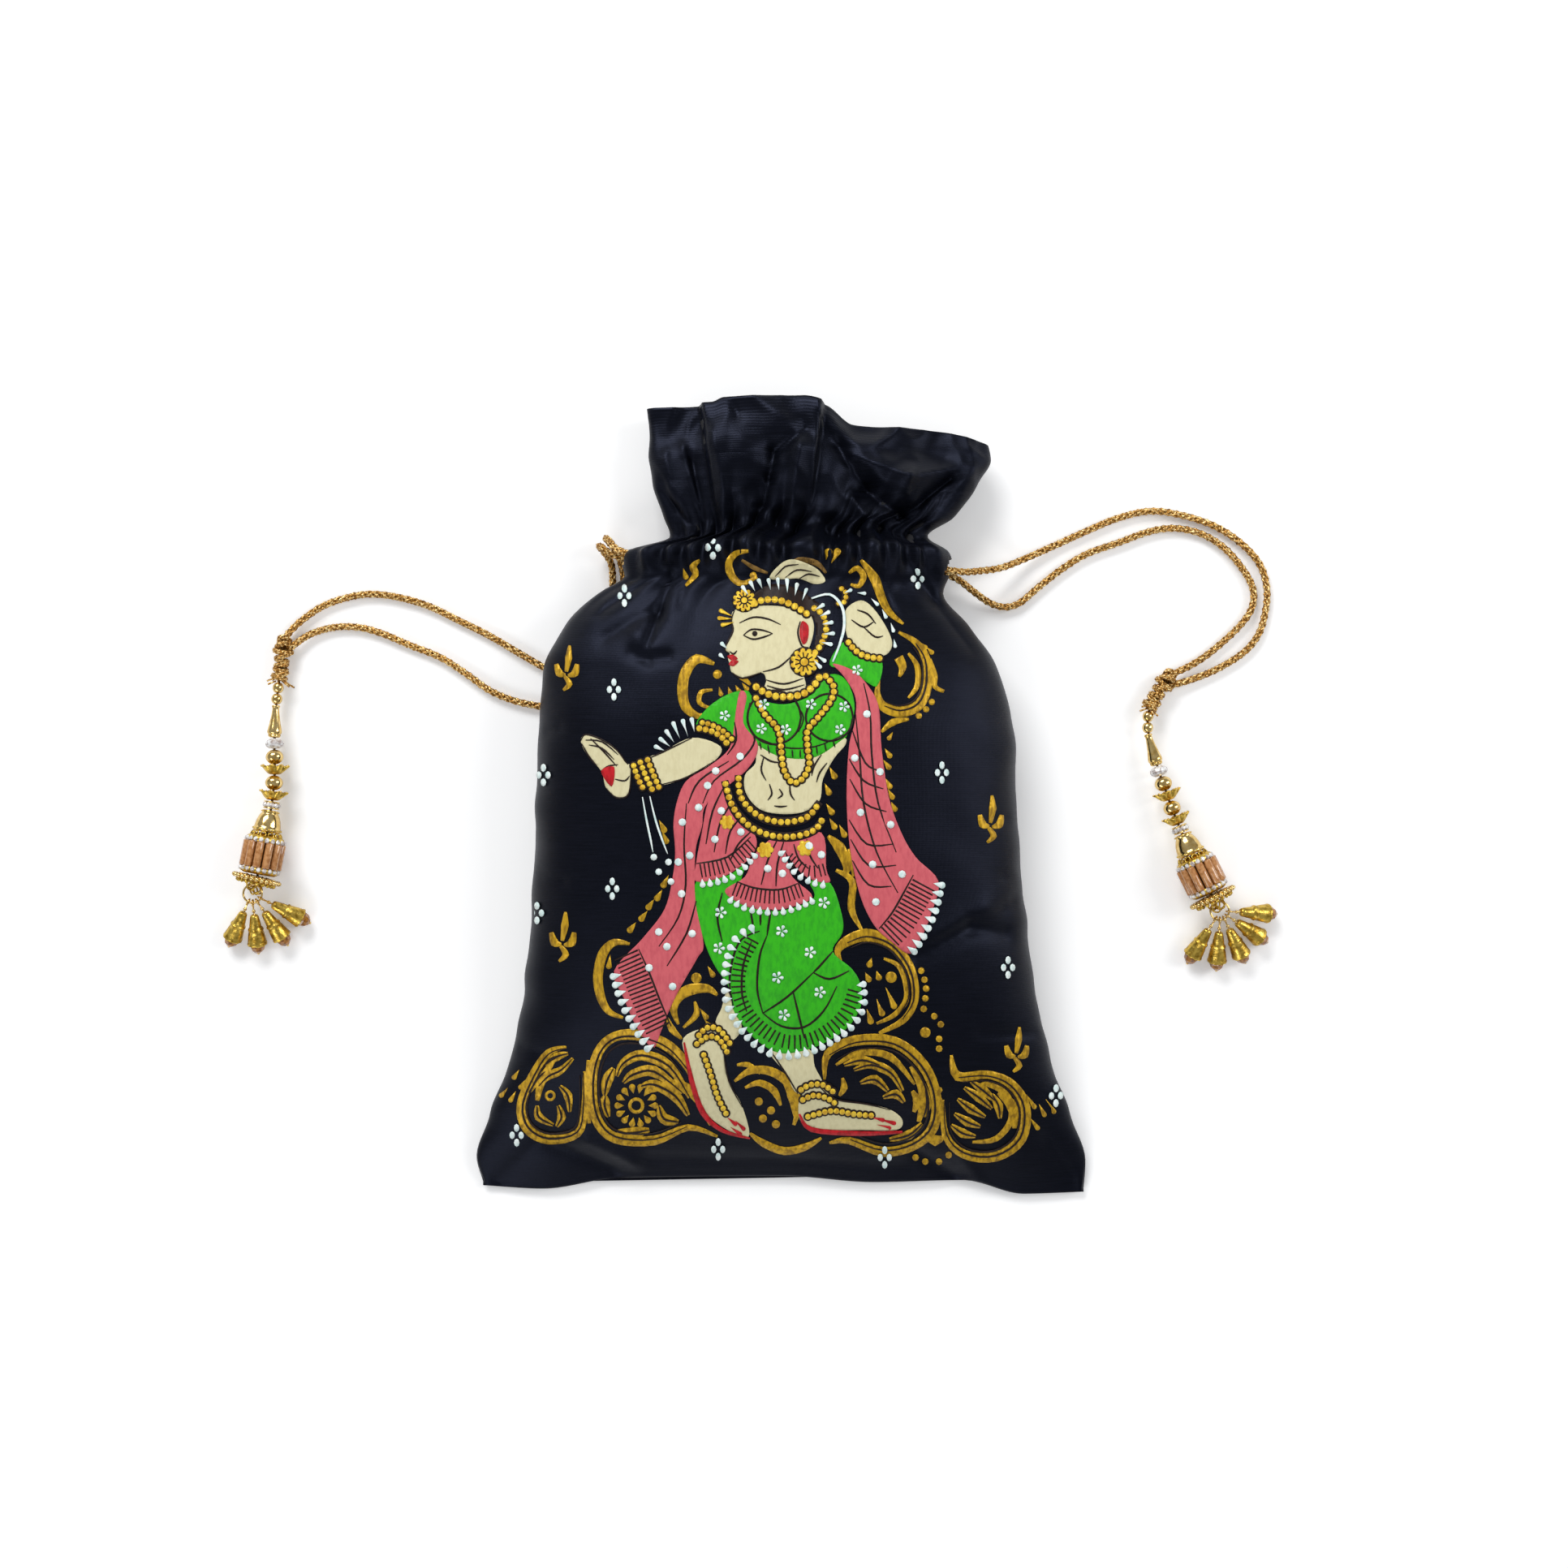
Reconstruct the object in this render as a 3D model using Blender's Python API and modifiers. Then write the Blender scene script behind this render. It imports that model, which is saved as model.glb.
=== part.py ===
"""Potli bag: a drawstring bag of black silk, lying on its back, with two bead tassels.

All lengths are in metres. X runs across the bag, Y from the bottom seam to the mouth, and Z up from
the surface that the bag lies on. The origin is below the middle of the cloth.
"""
import math

import bmesh
import bpy
from mathutils import Matrix, Vector

MM = 0.001
GAP = 0.3 * MM                     # clearance between pieces that touch on the real bag

# The whole bag. The tables below are drawn in millimetres on a bag of the drawn size, and stretch with it.
BAG_WIDTH = 177.0 * MM
BAG_LENGTH = 221.0 * MM
DRAWN_WIDTH = 177.0 * MM
DRAWN_LENGTH = 221.0 * MM
ACROSS = BAG_WIDTH / DRAWN_WIDTH
ALONG = BAG_LENGTH / DRAWN_LENGTH

# Cloth. Each station across the bag gives, in millimetres: its place along Y, the left edge,
# the right edge, the height of the top, the height of the side edges.
STATIONS = (
    (-110.0, -87.0, 88.0, 3.4, 1.7),
    (-103.0, -88.8, 88.6, 8.5, 2.6),
    (-92.0, -85.0, 84.4, 16.0, 4.5),
    (-74.0, -78.2, 77.2, 26.0, 7.0),
    (-44.0, -72.6, 71.6, 34.0, 9.0),
    (-10.0, -71.0, 68.0, 36.5, 10.0),
    (18.0, -69.6, 66.8, 36.0, 10.5),
    (38.0, -67.8, 61.6, 32.5, 11.0),
    (50.0, -62.2, 53.6, 29.0, 11.5),
    (59.5, -52.0, 46.4, 26.0, 12.0),
    (64.2, -44.0, 47.0, 24.8, 12.0),
    (70.6, -43.0, 46.4, 24.4, 12.0),
    (75.4, -31.6, 41.8, 19.0, 10.5),
    (81.0, -33.6, 49.4, 20.0, 10.5),
    (92.0, -37.4, 56.4, 21.0, 10.0),
    (103.0, -38.2, 60.6, 18.5, 9.5),
    (111.0, -38.6, 60.0, 15.5, 9.0),
)
BODY_RINGS = (-110.0, -107.0, -101.0, -91.0, -75.0, -53.0, -27.0, 1.0, 25.0, 41.0, 52.0, 59.5)
RUFFLE_RINGS = (73.6, 75.6, 81.0, 89.0, 98.0, 106.0, 111.0)
LINING_PLACES = (
    -101.0, -75.0, -50.0, -20.0, 25.0, 52.0, 59.5, 64.2, 67.4, 70.6, 73.2, 75.4, 81.0, 92.0, 106.0,
)
SHELL_HALF_COLUMNS = 32            # columns on the front, and as many on the back
LINING_HALF_COLUMNS = 12
CLOTH_WALL = 0.8 * MM
LINING_WALL = 0.5 * MM
LINING_PLAY = 0.7 * MM             # the lining lies this far inside the outer cloth
LINING_EASE = 4.0 * MM             # and is cut this much narrower at each side
SECTION_POWER = 2.3                # 2 is an ellipse, more is squarer
UNDERSIDE_FLAT = 0.89              # the share of the section's half height that reaches the table
UNDERSIDE_CURVE = 1.6              # how slowly the underside lifts towards the side edges
SECTION_SAMPLES = 160              # samples along half a section, for spacing the columns evenly

# The edges of the cloth in millimetres: how far the bottom seam and the mouth's edge lie from the
# straight line, against the place across the bag from -1 at the left to 1 at the right.
BOTTOM_SEAM = (
    (-1.0, -1.5), (-0.8, -2.5), (-0.55, 0.6), (0.0, 1.2),
    (0.3, -0.6), (0.6, 0.0), (0.8, -4.0), (1.0, -3.4),
)
BOTTOM_REACH = 40.0 * MM
MOUTH_EDGE = (
    (-1.0, 1.4), (-0.62, 1.8), (-0.55, 3.0), (-0.1, 3.4),
    (0.05, 1.5), (0.2, -3.8), (0.7, -5.5), (1.0, -9.0),
)
MOUTH_REACH = 30.0 * MM

# Gathers and folds: how many on the front, how deep, where along Y, and over what length they fade.
GATHER_COUNT = 9
GATHER_DEPTH = 2.2 * MM
GATHER_PLACE = 75.4 * MM * ALONG
GATHER_REACH = 6.5 * MM
SHOULDER_COUNT = 7
SHOULDER_DEPTH = 2.6 * MM
SHOULDER_PLACE = 56.0 * MM * ALONG
SHOULDER_REACH = 9.0 * MM
RUFFLE_DEPTH = 6.0 * MM
RUFFLE_START = 76.0 * MM * ALONG
RUFFLE_REACH = 30.0 * MM
BACK_SHARE = 0.35                  # folds on the underside are pressed flatter
BACK_RUFFLE_COUNT = 4
BACK_RUFFLE_SHARE = 0.5
SEAM_FADE = 8.0                    # folds die out over an eighth of the front beside each side seam
SEAM_SHARE = 0.15                  # and this share of them is left on the seam itself

# The front folds of the ruffle: middle and half width across the front, and share of the depth.
RUFFLE_FOLDS = ((0.12, 0.09, 0.5), (0.33, 0.10, 0.55), (0.64, 0.16, 1.0), (0.90, 0.07, 0.45))

# Casing and drawstrings. Both ends of a string leave through one slit in the outer cloth.
CORD_DIAMETER = 2.4 * MM
CORD_STEP = 2.5                    # spacing of the points along a cord, in diameters
CASING_STEPS = 72
CASING_PLACE = 67.4 * MM * ALONG
LEFT_STRING_OFFSET = 1.4 * MM      # the two strings lie side by side in the casing
RIGHT_STRING_OFFSET = -1.4 * MM
TOP_EXIT = math.radians(22.0)      # where a string's upper end leaves its turn round the casing
LOWER_EXIT = math.radians(21.0)
SLIT_CLEARANCE = 1.4 * MM          # between a cord and each side of its slit
SLIT_HEIGHT = 12.0 * MM
CASING_REACH = 5.0 * MM            # over this length the lining closes in on the outer cloth again

# Routes of the free cords in millimetres, after the point where each leaves the casing.
LEFT_UPPER_ROUTE = (
    (-48.4, 70.3, 9.9), (-51.4, 72.4, 9.2), (-52.8, 73.2, 6.2), (-51.6, 71.8, 2.9), (-49.6, 68.2, 1.5),
    (-49.4, 61.0, 1.3), (-50.6, 53.0, 1.3), (-53.4, 45.0, 1.3), (-58.4, 38.8, 1.3), (-63.4, 37.0, 1.3),
    (-68.4, 38.0, 1.3), (-75.8, 42.1, 1.3), (-85.0, 47.5, 1.3), (-94.0, 52.0, 1.3), (-103.0, 56.3, 1.3),
    (-112.0, 58.9, 1.3), (-120.3, 59.8, 1.3), (-127.4, 58.6, 1.3), (-133.8, 56.3, 1.3), (-139.6, 52.4, 1.5),
    (-143.4, 48.6, 2.2), (-146.2, 44.7, 2.7),
)
LEFT_LOWER_ROUTE = (
    (-46.8, 71.4, 14.0), (-49.4, 74.2, 10.6), (-50.8, 75.4, 6.8), (-49.8, 74.2, 3.2), (-47.4, 70.6, 1.5),
    (-46.0, 63.0, 1.3), (-46.6, 53.0, 1.3), (-48.2, 43.0, 1.3), (-51.6, 33.6, 1.3), (-57.4, 27.4, 1.3),
    (-64.2, 25.8, 1.3), (-70.8, 27.1, 1.3), (-77.7, 28.6, 1.3), (-85.0, 31.6, 1.3), (-92.1, 36.6, 1.3),
    (-99.5, 41.3, 1.3), (-108.5, 44.9, 1.3), (-115.8, 48.0, 1.3), (-122.2, 49.9, 1.3), (-128.4, 50.3, 1.3),
    (-133.8, 49.4, 1.4), (-138.6, 47.4, 1.9), (-143.7, 43.5, 3.0),
)
RIGHT_UPPER_ROUTE = (
    (51.6, 65.2, 12.8), (57.0, 65.8, 9.4), (63.4, 67.0, 5.6), (70.4, 69.8, 2.8), (79.3, 73.8, 1.4),
    (88.8, 78.1, 1.3), (98.0, 81.9, 1.3), (107.5, 84.0, 1.3), (116.8, 82.8, 1.3), (126.4, 79.6, 1.3),
    (134.2, 74.5, 1.3), (139.6, 68.3, 1.3), (141.6, 61.2, 1.3), (141.0, 53.9, 1.3), (139.0, 47.8, 1.3),
    (134.6, 42.6, 1.3), (127.0, 37.9, 1.3), (119.6, 34.9, 1.6), (112.6, 32.9, 2.6),
)
RIGHT_LOWER_ROUTE = (
    (50.6, 63.6, 8.2), (55.4, 60.4, 5.4), (60.4, 57.2, 3.0), (65.0, 56.0, 1.7), (69.4, 57.2, 1.3),
    (74.6, 61.5, 1.3), (81.2, 66.7, 1.3), (88.8, 71.4, 1.3), (98.0, 74.7, 1.3), (107.5, 78.1, 1.3),
    (114.9, 79.0, 1.3), (122.4, 77.4, 1.3), (129.0, 73.4, 1.3), (134.2, 67.6, 1.3), (137.4, 61.8, 1.3),
    (137.4, 56.4, 1.3), (134.6, 51.6, 1.3), (129.4, 46.4, 1.3), (123.8, 41.8, 1.3), (118.6, 38.6, 1.6),
    (111.5, 35.4, 3.5),
)

# Knots: the drawstring wound round the stringing thread.
KNOT_TUBE = 1.9 * MM               # the cord is squeezed thinner in the knot
KNOT_TURNS = 3.5
KNOT_PITCH = 2.2 * MM
KNOT_STEPS_PER_TURN = 7
THREAD_DIAMETER = 0.8 * MM
THREAD_STEPS = 16

# Tassels: the line of each thread in millimetres, from the top of its knot to its ring.
LEFT_TASSEL_LINE = (
    (-145.0, 43.6), (-145.9, 36.0), (-146.8, 28.0), (-147.2, 18.0), (-147.0, 8.0), (-147.5, 0.0),
    (-148.8, -8.0), (-150.3, -17.0), (-152.2, -25.0), (-153.6, -30.0),
)
RIGHT_TASSEL_LINE = (
    (111.6, 34.0), (107.4, 27.4), (106.4, 20.6), (108.2, 12.4), (110.9, 4.0), (113.9, -4.6),
    (117.3, -13.0), (121.1, -21.4), (125.2, -29.6), (127.6, -34.2),
)
LINE_START_HEIGHT = 2.9 * MM
LINE_END_HEIGHT = 7.8 * MM
LINE_STEP = 0.5 * MM
BORE_RADIUS = THREAD_DIAMETER / 2 + GAP
BEAD_GAP = 0.4 * MM                # room for the thread's bends between beads

# Beads. Each shape is an outline down the bead's outer side, from the knot's side to the bell's side,
# as shares of its radius and of its length. Furrows are shares of the radius at the same points.
BALL_SMALL = 3.2 * MM
BALL_SMALL_LENGTH = 2.9 * MM
BALL_LARGE = 5.1 * MM
BALL_LARGE_LENGTH = 4.1 * MM
BALL_LIP = 0.15 * MM               # the flat lip round a ball's bore
CONE = 4.2 * MM
CONE_LENGTH = 9.4 * MM
CONE_SHAPE = ((0.52, 0.5), (0.55, 0.39), (0.85, -0.16), (1.0, -0.34), (0.8, -0.46), (0.55, -0.5))
GLASS_RONDELLE = 5.4 * MM
GLASS_RONDELLE_LENGTH = 2.8 * MM
STONE_RONDELLE = 5.2 * MM
STONE_RONDELLE_LENGTH = 2.2 * MM
RONDELLE_SHAPE = ((0.62, 0.5), (1.0, 0.22), (1.0, -0.22), (0.62, -0.5))
FLOWER_CAP = 8.4 * MM
FLOWER_CAP_LENGTH = 2.6 * MM
FLOWER_CAP_SHAPE = ((0.42, 0.15), (0.94, 0.5), (1.0, 0.27), (0.5, -0.3), (0.38, -0.5))
PETALS = 8
PETAL_FURROWS = (0.0, 0.22, 0.25, 0.1, 0.0)
DOME = 8.2 * MM
DOME_LENGTH = 6.4 * MM
DOME_SHAPE = ((0.56, 0.5), (0.73, 0.27), (0.87, 0.05), (0.97, -0.18), (1.0, -0.4), (0.84, -0.5))
BARREL = 12.0 * MM
BARREL_LENGTH = 12.0 * MM
BARREL_SHAPE = ((0.6, 0.5), (0.9, 0.4), (1.0, 0.3), (1.0, -0.32), (0.97, -0.42), (0.86, -0.5))
BARREL_RODS = 14
ROD_FURROWS = (0.0, 0.05, 0.07, 0.07, 0.04, 0.0)
DISC = 14.2 * MM
DISC_LENGTH = 2.0 * MM
DISC_SHAPE = ((0.5, 0.5), (1.0, 0.2), (1.0, -0.25), (0.5, -0.5))
DISC_SCALLOPS = 14
SCALLOP_FURROWS = (0.0, 0.09, 0.09, 0.0)
BEAD_STEPS = 10

# Ring and bells. Each bell hangs by a wire pin with an eye at its top and a faceted drop at its foot.
TASSEL_RING = 5.4 * MM
RING_WIRE = 0.6 * MM
EYE = 1.8 * MM
EYE_WIRE = 0.5 * MM
PIN_BITE = 0.02 * MM               # how far the pin's end reaches into its eye
PIN_NECK = 3.7 * MM                # from the middle of the eye to the top of the bell
BELL = 6.0 * MM
BELL_LENGTH = 9.2 * MM
BELL_SHAPE = ((0.36, 0.0), (0.45, -0.054), (0.68, -0.46), (0.79, -0.5), (0.93, -0.9), (1.0, -1.0))
BELL_WALL = 0.45 * MM
BELL_HEAD = 1.2 * MM               # the solid top of the bell
BELL_STEPS = 8
DROP = 3.6 * MM
DROP_LENGTH = 3.4 * MM
DROP_SHAPE = ((0.55, -0.03), (1.0, -0.4), (1.0, -0.6), (0.55, -1.0))
DROP_CLEARANCE = 0.8 * MM          # how far inside the rim the drop starts
BELL_SLOPE = math.radians(21.0)
LEFT_BELL_HEADINGS = (-118.0, -89.0, -60.0, -30.0)
RIGHT_BELL_HEADINGS = (-118.0, -89.5, -61.0, -32.5, -4.0)

SILK = ("silk_taffeta", (0.008, 0.010, 0.018), 0.0, 0.42)
LINING_CLOTH = ("lining_cotton", (0.012, 0.012, 0.014), 0.0, 0.8)
ZARI = ("zari_braid", (0.50, 0.24, 0.035), 0.75, 0.38)
THREAD = ("stringing_thread", (0.42, 0.22, 0.05), 0.0, 0.6)
GOLD = ("gold_plate", (0.72, 0.42, 0.07), 1.0, 0.22)
ANTIQUE = ("antique_gold", (0.56, 0.31, 0.05), 1.0, 0.36)
CRYSTAL = ("crystal_glass", (0.75, 0.70, 0.66), 0.0, 0.06)
ROSE = ("rose_glass", (0.45, 0.18, 0.09), 0.1, 0.18)
AMBER = ("amber_glass", (0.42, 0.17, 0.02), 0.1, 0.12)


def clear_scene():
    for obj in list(bpy.data.objects):
        bpy.data.objects.remove(obj, do_unlink=True)


def new_collection(name):
    collection = bpy.data.collections.new(name)
    bpy.context.scene.collection.children.link(collection)
    return collection


def material(finish):
    """The Principled material of a finish, made once."""
    name, colour, metallic, roughness = finish
    made = bpy.data.materials.get(name)
    if made is None:
        made = bpy.data.materials.new(name)
        made.use_nodes = True
        shader = made.node_tree.nodes["Principled BSDF"]
        shader.inputs["Base Color"].default_value = (*colour, 1.0)
        shader.inputs["Metallic"].default_value = metallic
        shader.inputs["Roughness"].default_value = roughness
        made.diffuse_color = (*colour, 1.0)
    return made


def add_object(name, data, finish, collection):
    obj = bpy.data.objects.new(name, data)
    if not data.materials:
        data.materials.append(material(finish))
    collection.objects.link(obj)
    return obj


def smooth_through(stations):
    """A smooth value through (place, value) stations that never swings past a station."""
    places = [station[0] for station in stations]
    values = [station[1] for station in stations]
    slopes = [(values[i + 1] - values[i]) / (places[i + 1] - places[i]) for i in range(len(places) - 1)]
    tangents = [slopes[0]]
    for before, after in zip(slopes, slopes[1:]):
        level = before * after <= 0
        tangents.append(0.0 if level else 2 * before * after / (before + after))
    tangents.append(slopes[-1])

    def value_at(place):
        place = min(max(place, places[0]), places[-1])
        i = max(index for index in range(len(slopes)) if places[index] <= place)
        width = places[i + 1] - places[i]
        t = (place - places[i]) / width
        start = (1 + 2 * t) * (1 - t) ** 2 * values[i] + t * t * (3 - 2 * t) * values[i + 1]
        return start + width * (t * (1 - t) ** 2 * tangents[i] - t * t * (1 - t) * tangents[i + 1])

    return value_at


LEFT_EDGE = smooth_through([(row[0] * ALONG, row[1] * ACROSS) for row in STATIONS])
RIGHT_EDGE = smooth_through([(row[0] * ALONG, row[2] * ACROSS) for row in STATIONS])
TOP_HEIGHT = smooth_through([(row[0] * ALONG, row[3]) for row in STATIONS])
EDGE_HEIGHT = smooth_through([(row[0] * ALONG, row[4]) for row in STATIONS])
BOTTOM_SHIFT = smooth_through(BOTTOM_SEAM)
MOUTH_SHIFT = smooth_through(MOUTH_EDGE)


def slit_sides(offset):
    """The two sides of the slit of the string at this offset, along Y."""
    middle = CASING_PLACE + offset
    reach = CORD_DIAMETER / 2 + SLIT_CLEARANCE
    return middle - reach, middle + reach


LEFT_SLIT = slit_sides(LEFT_STRING_OFFSET)
RIGHT_SLIT = slit_sides(RIGHT_STRING_OFFSET)
CASING_RINGS = sorted(LEFT_SLIT + RIGHT_SLIT)


def along(places):
    """Drawn places as real ones, in metres."""
    return [place * ALONG * MM for place in places]


RING_PLACES = (*along(BODY_RINGS), *CASING_RINGS, *along(RUFFLE_RINGS))


def section_point(y, angle, inset, ease=0.0):
    """A point of the cloth's section at y, drawn in by inset. Angle 0 is the right edge, pi the left."""
    place = y / MM
    left = LEFT_EDGE(place) * MM + inset + ease
    right = RIGHT_EDGE(place) * MM - inset - ease
    top = TOP_HEIGHT(place) * MM - inset
    edge = EDGE_HEIGHT(place) * MM
    power = 2.0 / SECTION_POWER
    cosine = math.cos(angle)
    sine = math.sin(angle)
    across = math.copysign(abs(cosine) ** power, cosine)
    x = (left + right) / 2 + (right - left) / 2 * across
    if sine >= 0:
        z = edge + (top - edge) * sine ** power
    else:
        z = edge - (edge - inset) * min(1.0, -sine / UNDERSIDE_FLAT) ** UNDERSIDE_CURVE
    return Vector((x, y, z)), across


def even_angles(y, half_columns):
    """Angles that space the columns evenly along the front of the section, then along its back."""
    angles = []
    for start in (0.0, math.pi):
        turn = [start + math.pi * i / SECTION_SAMPLES for i in range(SECTION_SAMPLES + 1)]
        points = [section_point(y, angle, 0.0)[0] for angle in turn]
        run = [0.0]
        for before, after in zip(points, points[1:]):
            run.append(run[-1] + (after - before).length)
        i = 0
        for column in range(half_columns):
            target = run[-1] * column / half_columns
            while run[i + 1] < target:
                i += 1
            share = (target - run[i]) / (run[i + 1] - run[i])
            angles.append(turn[i] + share * (turn[i + 1] - turn[i]))
    return angles


def fade(distance, reach):
    return math.exp(-(distance / reach) ** 2)


def ridge(share, count, phase):
    """A row of round ridges, from 0 in a furrow to 1 on a crest."""
    sway = 0.8 * math.sin(2 * math.pi * share * 2.0 + phase)
    return 0.5 - 0.5 * math.cos(2 * math.pi * count * share + sway)


def fold_height(y, share, back):
    """How far the cloth stands out of its plain section; share runs along the front or the back."""
    ends = min(1.0, SEAM_FADE * min(share, 1.0 - share) + SEAM_SHARE)
    height = GATHER_DEPTH * fade(y - GATHER_PLACE, GATHER_REACH) * ridge(share, GATHER_COUNT, 0.0)
    height += SHOULDER_DEPTH * fade(y - SHOULDER_PLACE, SHOULDER_REACH) * ridge(share, SHOULDER_COUNT, 1.2)
    opened = min(max((y - RUFFLE_START) / RUFFLE_REACH, 0.0), 1.0)
    opened = opened * opened * (3 - 2 * opened)
    if back:
        height += RUFFLE_DEPTH * opened * ridge(share, BACK_RUFFLE_COUNT, 0.5) * BACK_RUFFLE_SHARE
        return height * ends * BACK_SHARE
    for middle, width, depth in RUFFLE_FOLDS:
        height += RUFFLE_DEPTH * opened * depth * fade(share - middle, width)
    return height * ends


def cloth_ring(y, half_columns, inset, ease, folded):
    """One ring of the bag's cloth, at its mean place y along the bag."""
    angles = even_angles(y, half_columns)
    points = [section_point(y, angle, inset, ease) for angle in angles]
    count = len(points)
    ring = []
    bottom = max(0.0, 1 - (y - RING_PLACES[0]) / BOTTOM_REACH) ** 2
    mouth = max(0.0, 1 - (RING_PLACES[-1] - y) / MOUTH_REACH) ** 2
    for i, (point, across) in enumerate(points):
        back = i >= half_columns
        share = (i % half_columns) / half_columns
        point = point.copy()
        if folded:
            ahead = points[(i + 1) % count][0]
            behind = points[i - 1][0]
            along = (ahead - behind).normalized()
            outward = Vector((along.z, 0.0, -along.x))
            point += outward * fold_height(y, share, back)
            point.z = max(point.z, inset)
        point.y += (BOTTOM_SHIFT(across) * bottom + MOUTH_SHIFT(across) * mouth) * MM
        ring.append(point)
    return ring


def slit_faces(half_columns):
    """The (ring, column) places that the slits leave open, on both skins."""
    y = CASING_PLACE
    turn = [math.pi * i / SECTION_SAMPLES for i in range(SECTION_SAMPLES + 1)]
    front = [section_point(y, angle, 0.0)[0] for angle in turn]
    spacing = sum((b - a).length for a, b in zip(front, front[1:])) / half_columns
    reach = math.ceil(SLIT_HEIGHT / 2 / spacing)
    open_faces = set()
    for middle, (low, high) in ((half_columns, LEFT_SLIT), (0, RIGHT_SLIT)):
        columns = [(middle + step) % (2 * half_columns) for step in range(-reach, reach)]
        for ring, place in enumerate(RING_PLACES):
            if low <= place < high:
                open_faces.update((ring, column) for column in columns)
    return open_faces


def skin(bm, rings, half_columns, outward, open_faces):
    """Faces between the rings, and a strip that closes the first ring. It returns the rings' vertices."""
    loops = [[bm.verts.new(point) for point in ring] for ring in rings]
    count = len(loops[0])

    def face(*corners):
        bm.faces.new(corners if outward else reversed(corners))

    for ring, (lower, upper) in enumerate(zip(loops, loops[1:])):
        for i in range(count):
            if (ring, i) not in open_faces:
                j = (i + 1) % count
                face(lower[i], upper[i], upper[j], lower[j])
    first = loops[0]
    for i in range(half_columns):
        front, front_next = first[i], first[i + 1]
        back, back_next = first[-i], first[-i - 1]
        if i == 0:
            face(front, front_next, back_next)
        elif i == half_columns - 1:
            face(front, front_next, back)
        else:
            face(front, front_next, back_next, back)
    return loops


def slit_rims(bm, outside, inside, open_faces):
    """The cut edge of the cloth round each slit, from the outer skin to the inner one."""
    count = len(outside[0])
    for ring, i in open_faces:
        j = (i + 1) % count
        for neighbour, a, b in (
            ((ring - 1, i), (ring, i), (ring, j)),
            ((ring + 1, i), (ring + 1, i), (ring + 1, j)),
            ((ring, (i - 1) % count), (ring, i), (ring + 1, i)),
            ((ring, j), (ring, j), (ring + 1, j)),
        ):
            if neighbour not in open_faces:
                outer_edge = (outside[a[0]][a[1]], outside[b[0]][b[1]])
                inner_edge = (inside[b[0]][b[1]], inside[a[0]][a[1]])
                bm.faces.new(outer_edge + inner_edge)


def cloth_bag(name, places, half_columns, room, wall, ease, outer, finish, collection):
    """A bag of one cloth: an outer and an inner skin, joined round the mouth.

    room(y) is how far its outer skin lies inside the plain section, and ease how much narrower it is.
    The outer cloth has the folds, and the slits for the strings."""
    bm = bmesh.new()
    outer_rings = []
    inner_rings = []
    for ring, y in enumerate(places):
        outer_rings.append(cloth_ring(y, half_columns, room(y), ease, outer))
        seam = wall if ring == 0 else 0.0
        inner_rings.append(cloth_ring(y + seam, half_columns, room(y) + wall, ease, outer))
    open_faces = slit_faces(half_columns) if outer else set()
    outside = skin(bm, outer_rings, half_columns, True, open_faces)
    inside = skin(bm, inner_rings, half_columns, False, open_faces)
    slit_rims(bm, outside, inside, open_faces)
    count = len(outside[0])
    for i in range(count):
        j = (i + 1) % count
        bm.faces.new((outside[-1][i], inside[-1][i], inside[-1][j], outside[-1][j]))
    bmesh.ops.recalc_face_normals(bm, faces=bm.faces)
    mesh = bpy.data.meshes.new(name)
    bm.to_mesh(mesh)
    bm.free()
    mesh.shade_smooth()
    add_object(name, mesh, finish, collection)


def lining_room(y):
    """The lining lies against the outer cloth, and makes room for the strings at the casing."""
    beside = max(0.0, abs(y - CASING_PLACE) - CORD_DIAMETER - GAP)
    room = CORD_DIAMETER + GAP
    return CLOTH_WALL + LINING_PLAY + room * fade(beside, CASING_REACH)


def laid(x, y, z=0.0):
    """A drawn point as a real one, in metres."""
    return Vector((x * ACROSS, y * ALONG, z)) * MM


def spline_points(route, spacing):
    """Points at an even spacing along a smooth curve through the route's own points."""
    ends = [route[0] * 2 - route[1], *route, route[-1] * 2 - route[-2]]
    fine = []
    pieces = 12
    for i in range(1, len(ends) - 2):
        a, b, c, d = ends[i - 1:i + 3]
        for step in range(pieces):
            t = step / pieces
            bend = (b * 2 + (c - a) * t + (a * 2 - b * 5 + c * 4 - d) * t ** 2
                    + (b * 3 - a - c * 3 + d) * t ** 3)
            fine.append(bend * 0.5)
    fine.append(route[-1])
    return even_points(fine, spacing)


def even_points(fine, spacing):
    run = [0.0]
    for before, after in zip(fine, fine[1:]):
        run.append(run[-1] + (after - before).length)
    count = max(1, round(run[-1] / spacing))
    points = []
    i = 0
    for step in range(count + 1):
        target = run[-1] * step / count
        while i < len(fine) - 2 and run[i + 1] < target:
            i += 1
        share = (target - run[i]) / (run[i + 1] - run[i])
        points.append(fine[i].lerp(fine[i + 1], share))
    return points


def tube(name, points, diameter, finish, collection):
    curve = bpy.data.curves.new(name, "CURVE")
    curve.dimensions = "3D"
    curve.bevel_depth = diameter / 2
    curve.bevel_resolution = 2
    curve.use_fill_caps = True
    spline = curve.splines.new("POLY")
    spline.points.add(len(points) - 1)
    for place, point in zip(spline.points, points):
        place.co = (*point, 1.0)
    return add_object(name, curve, finish, collection)


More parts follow.
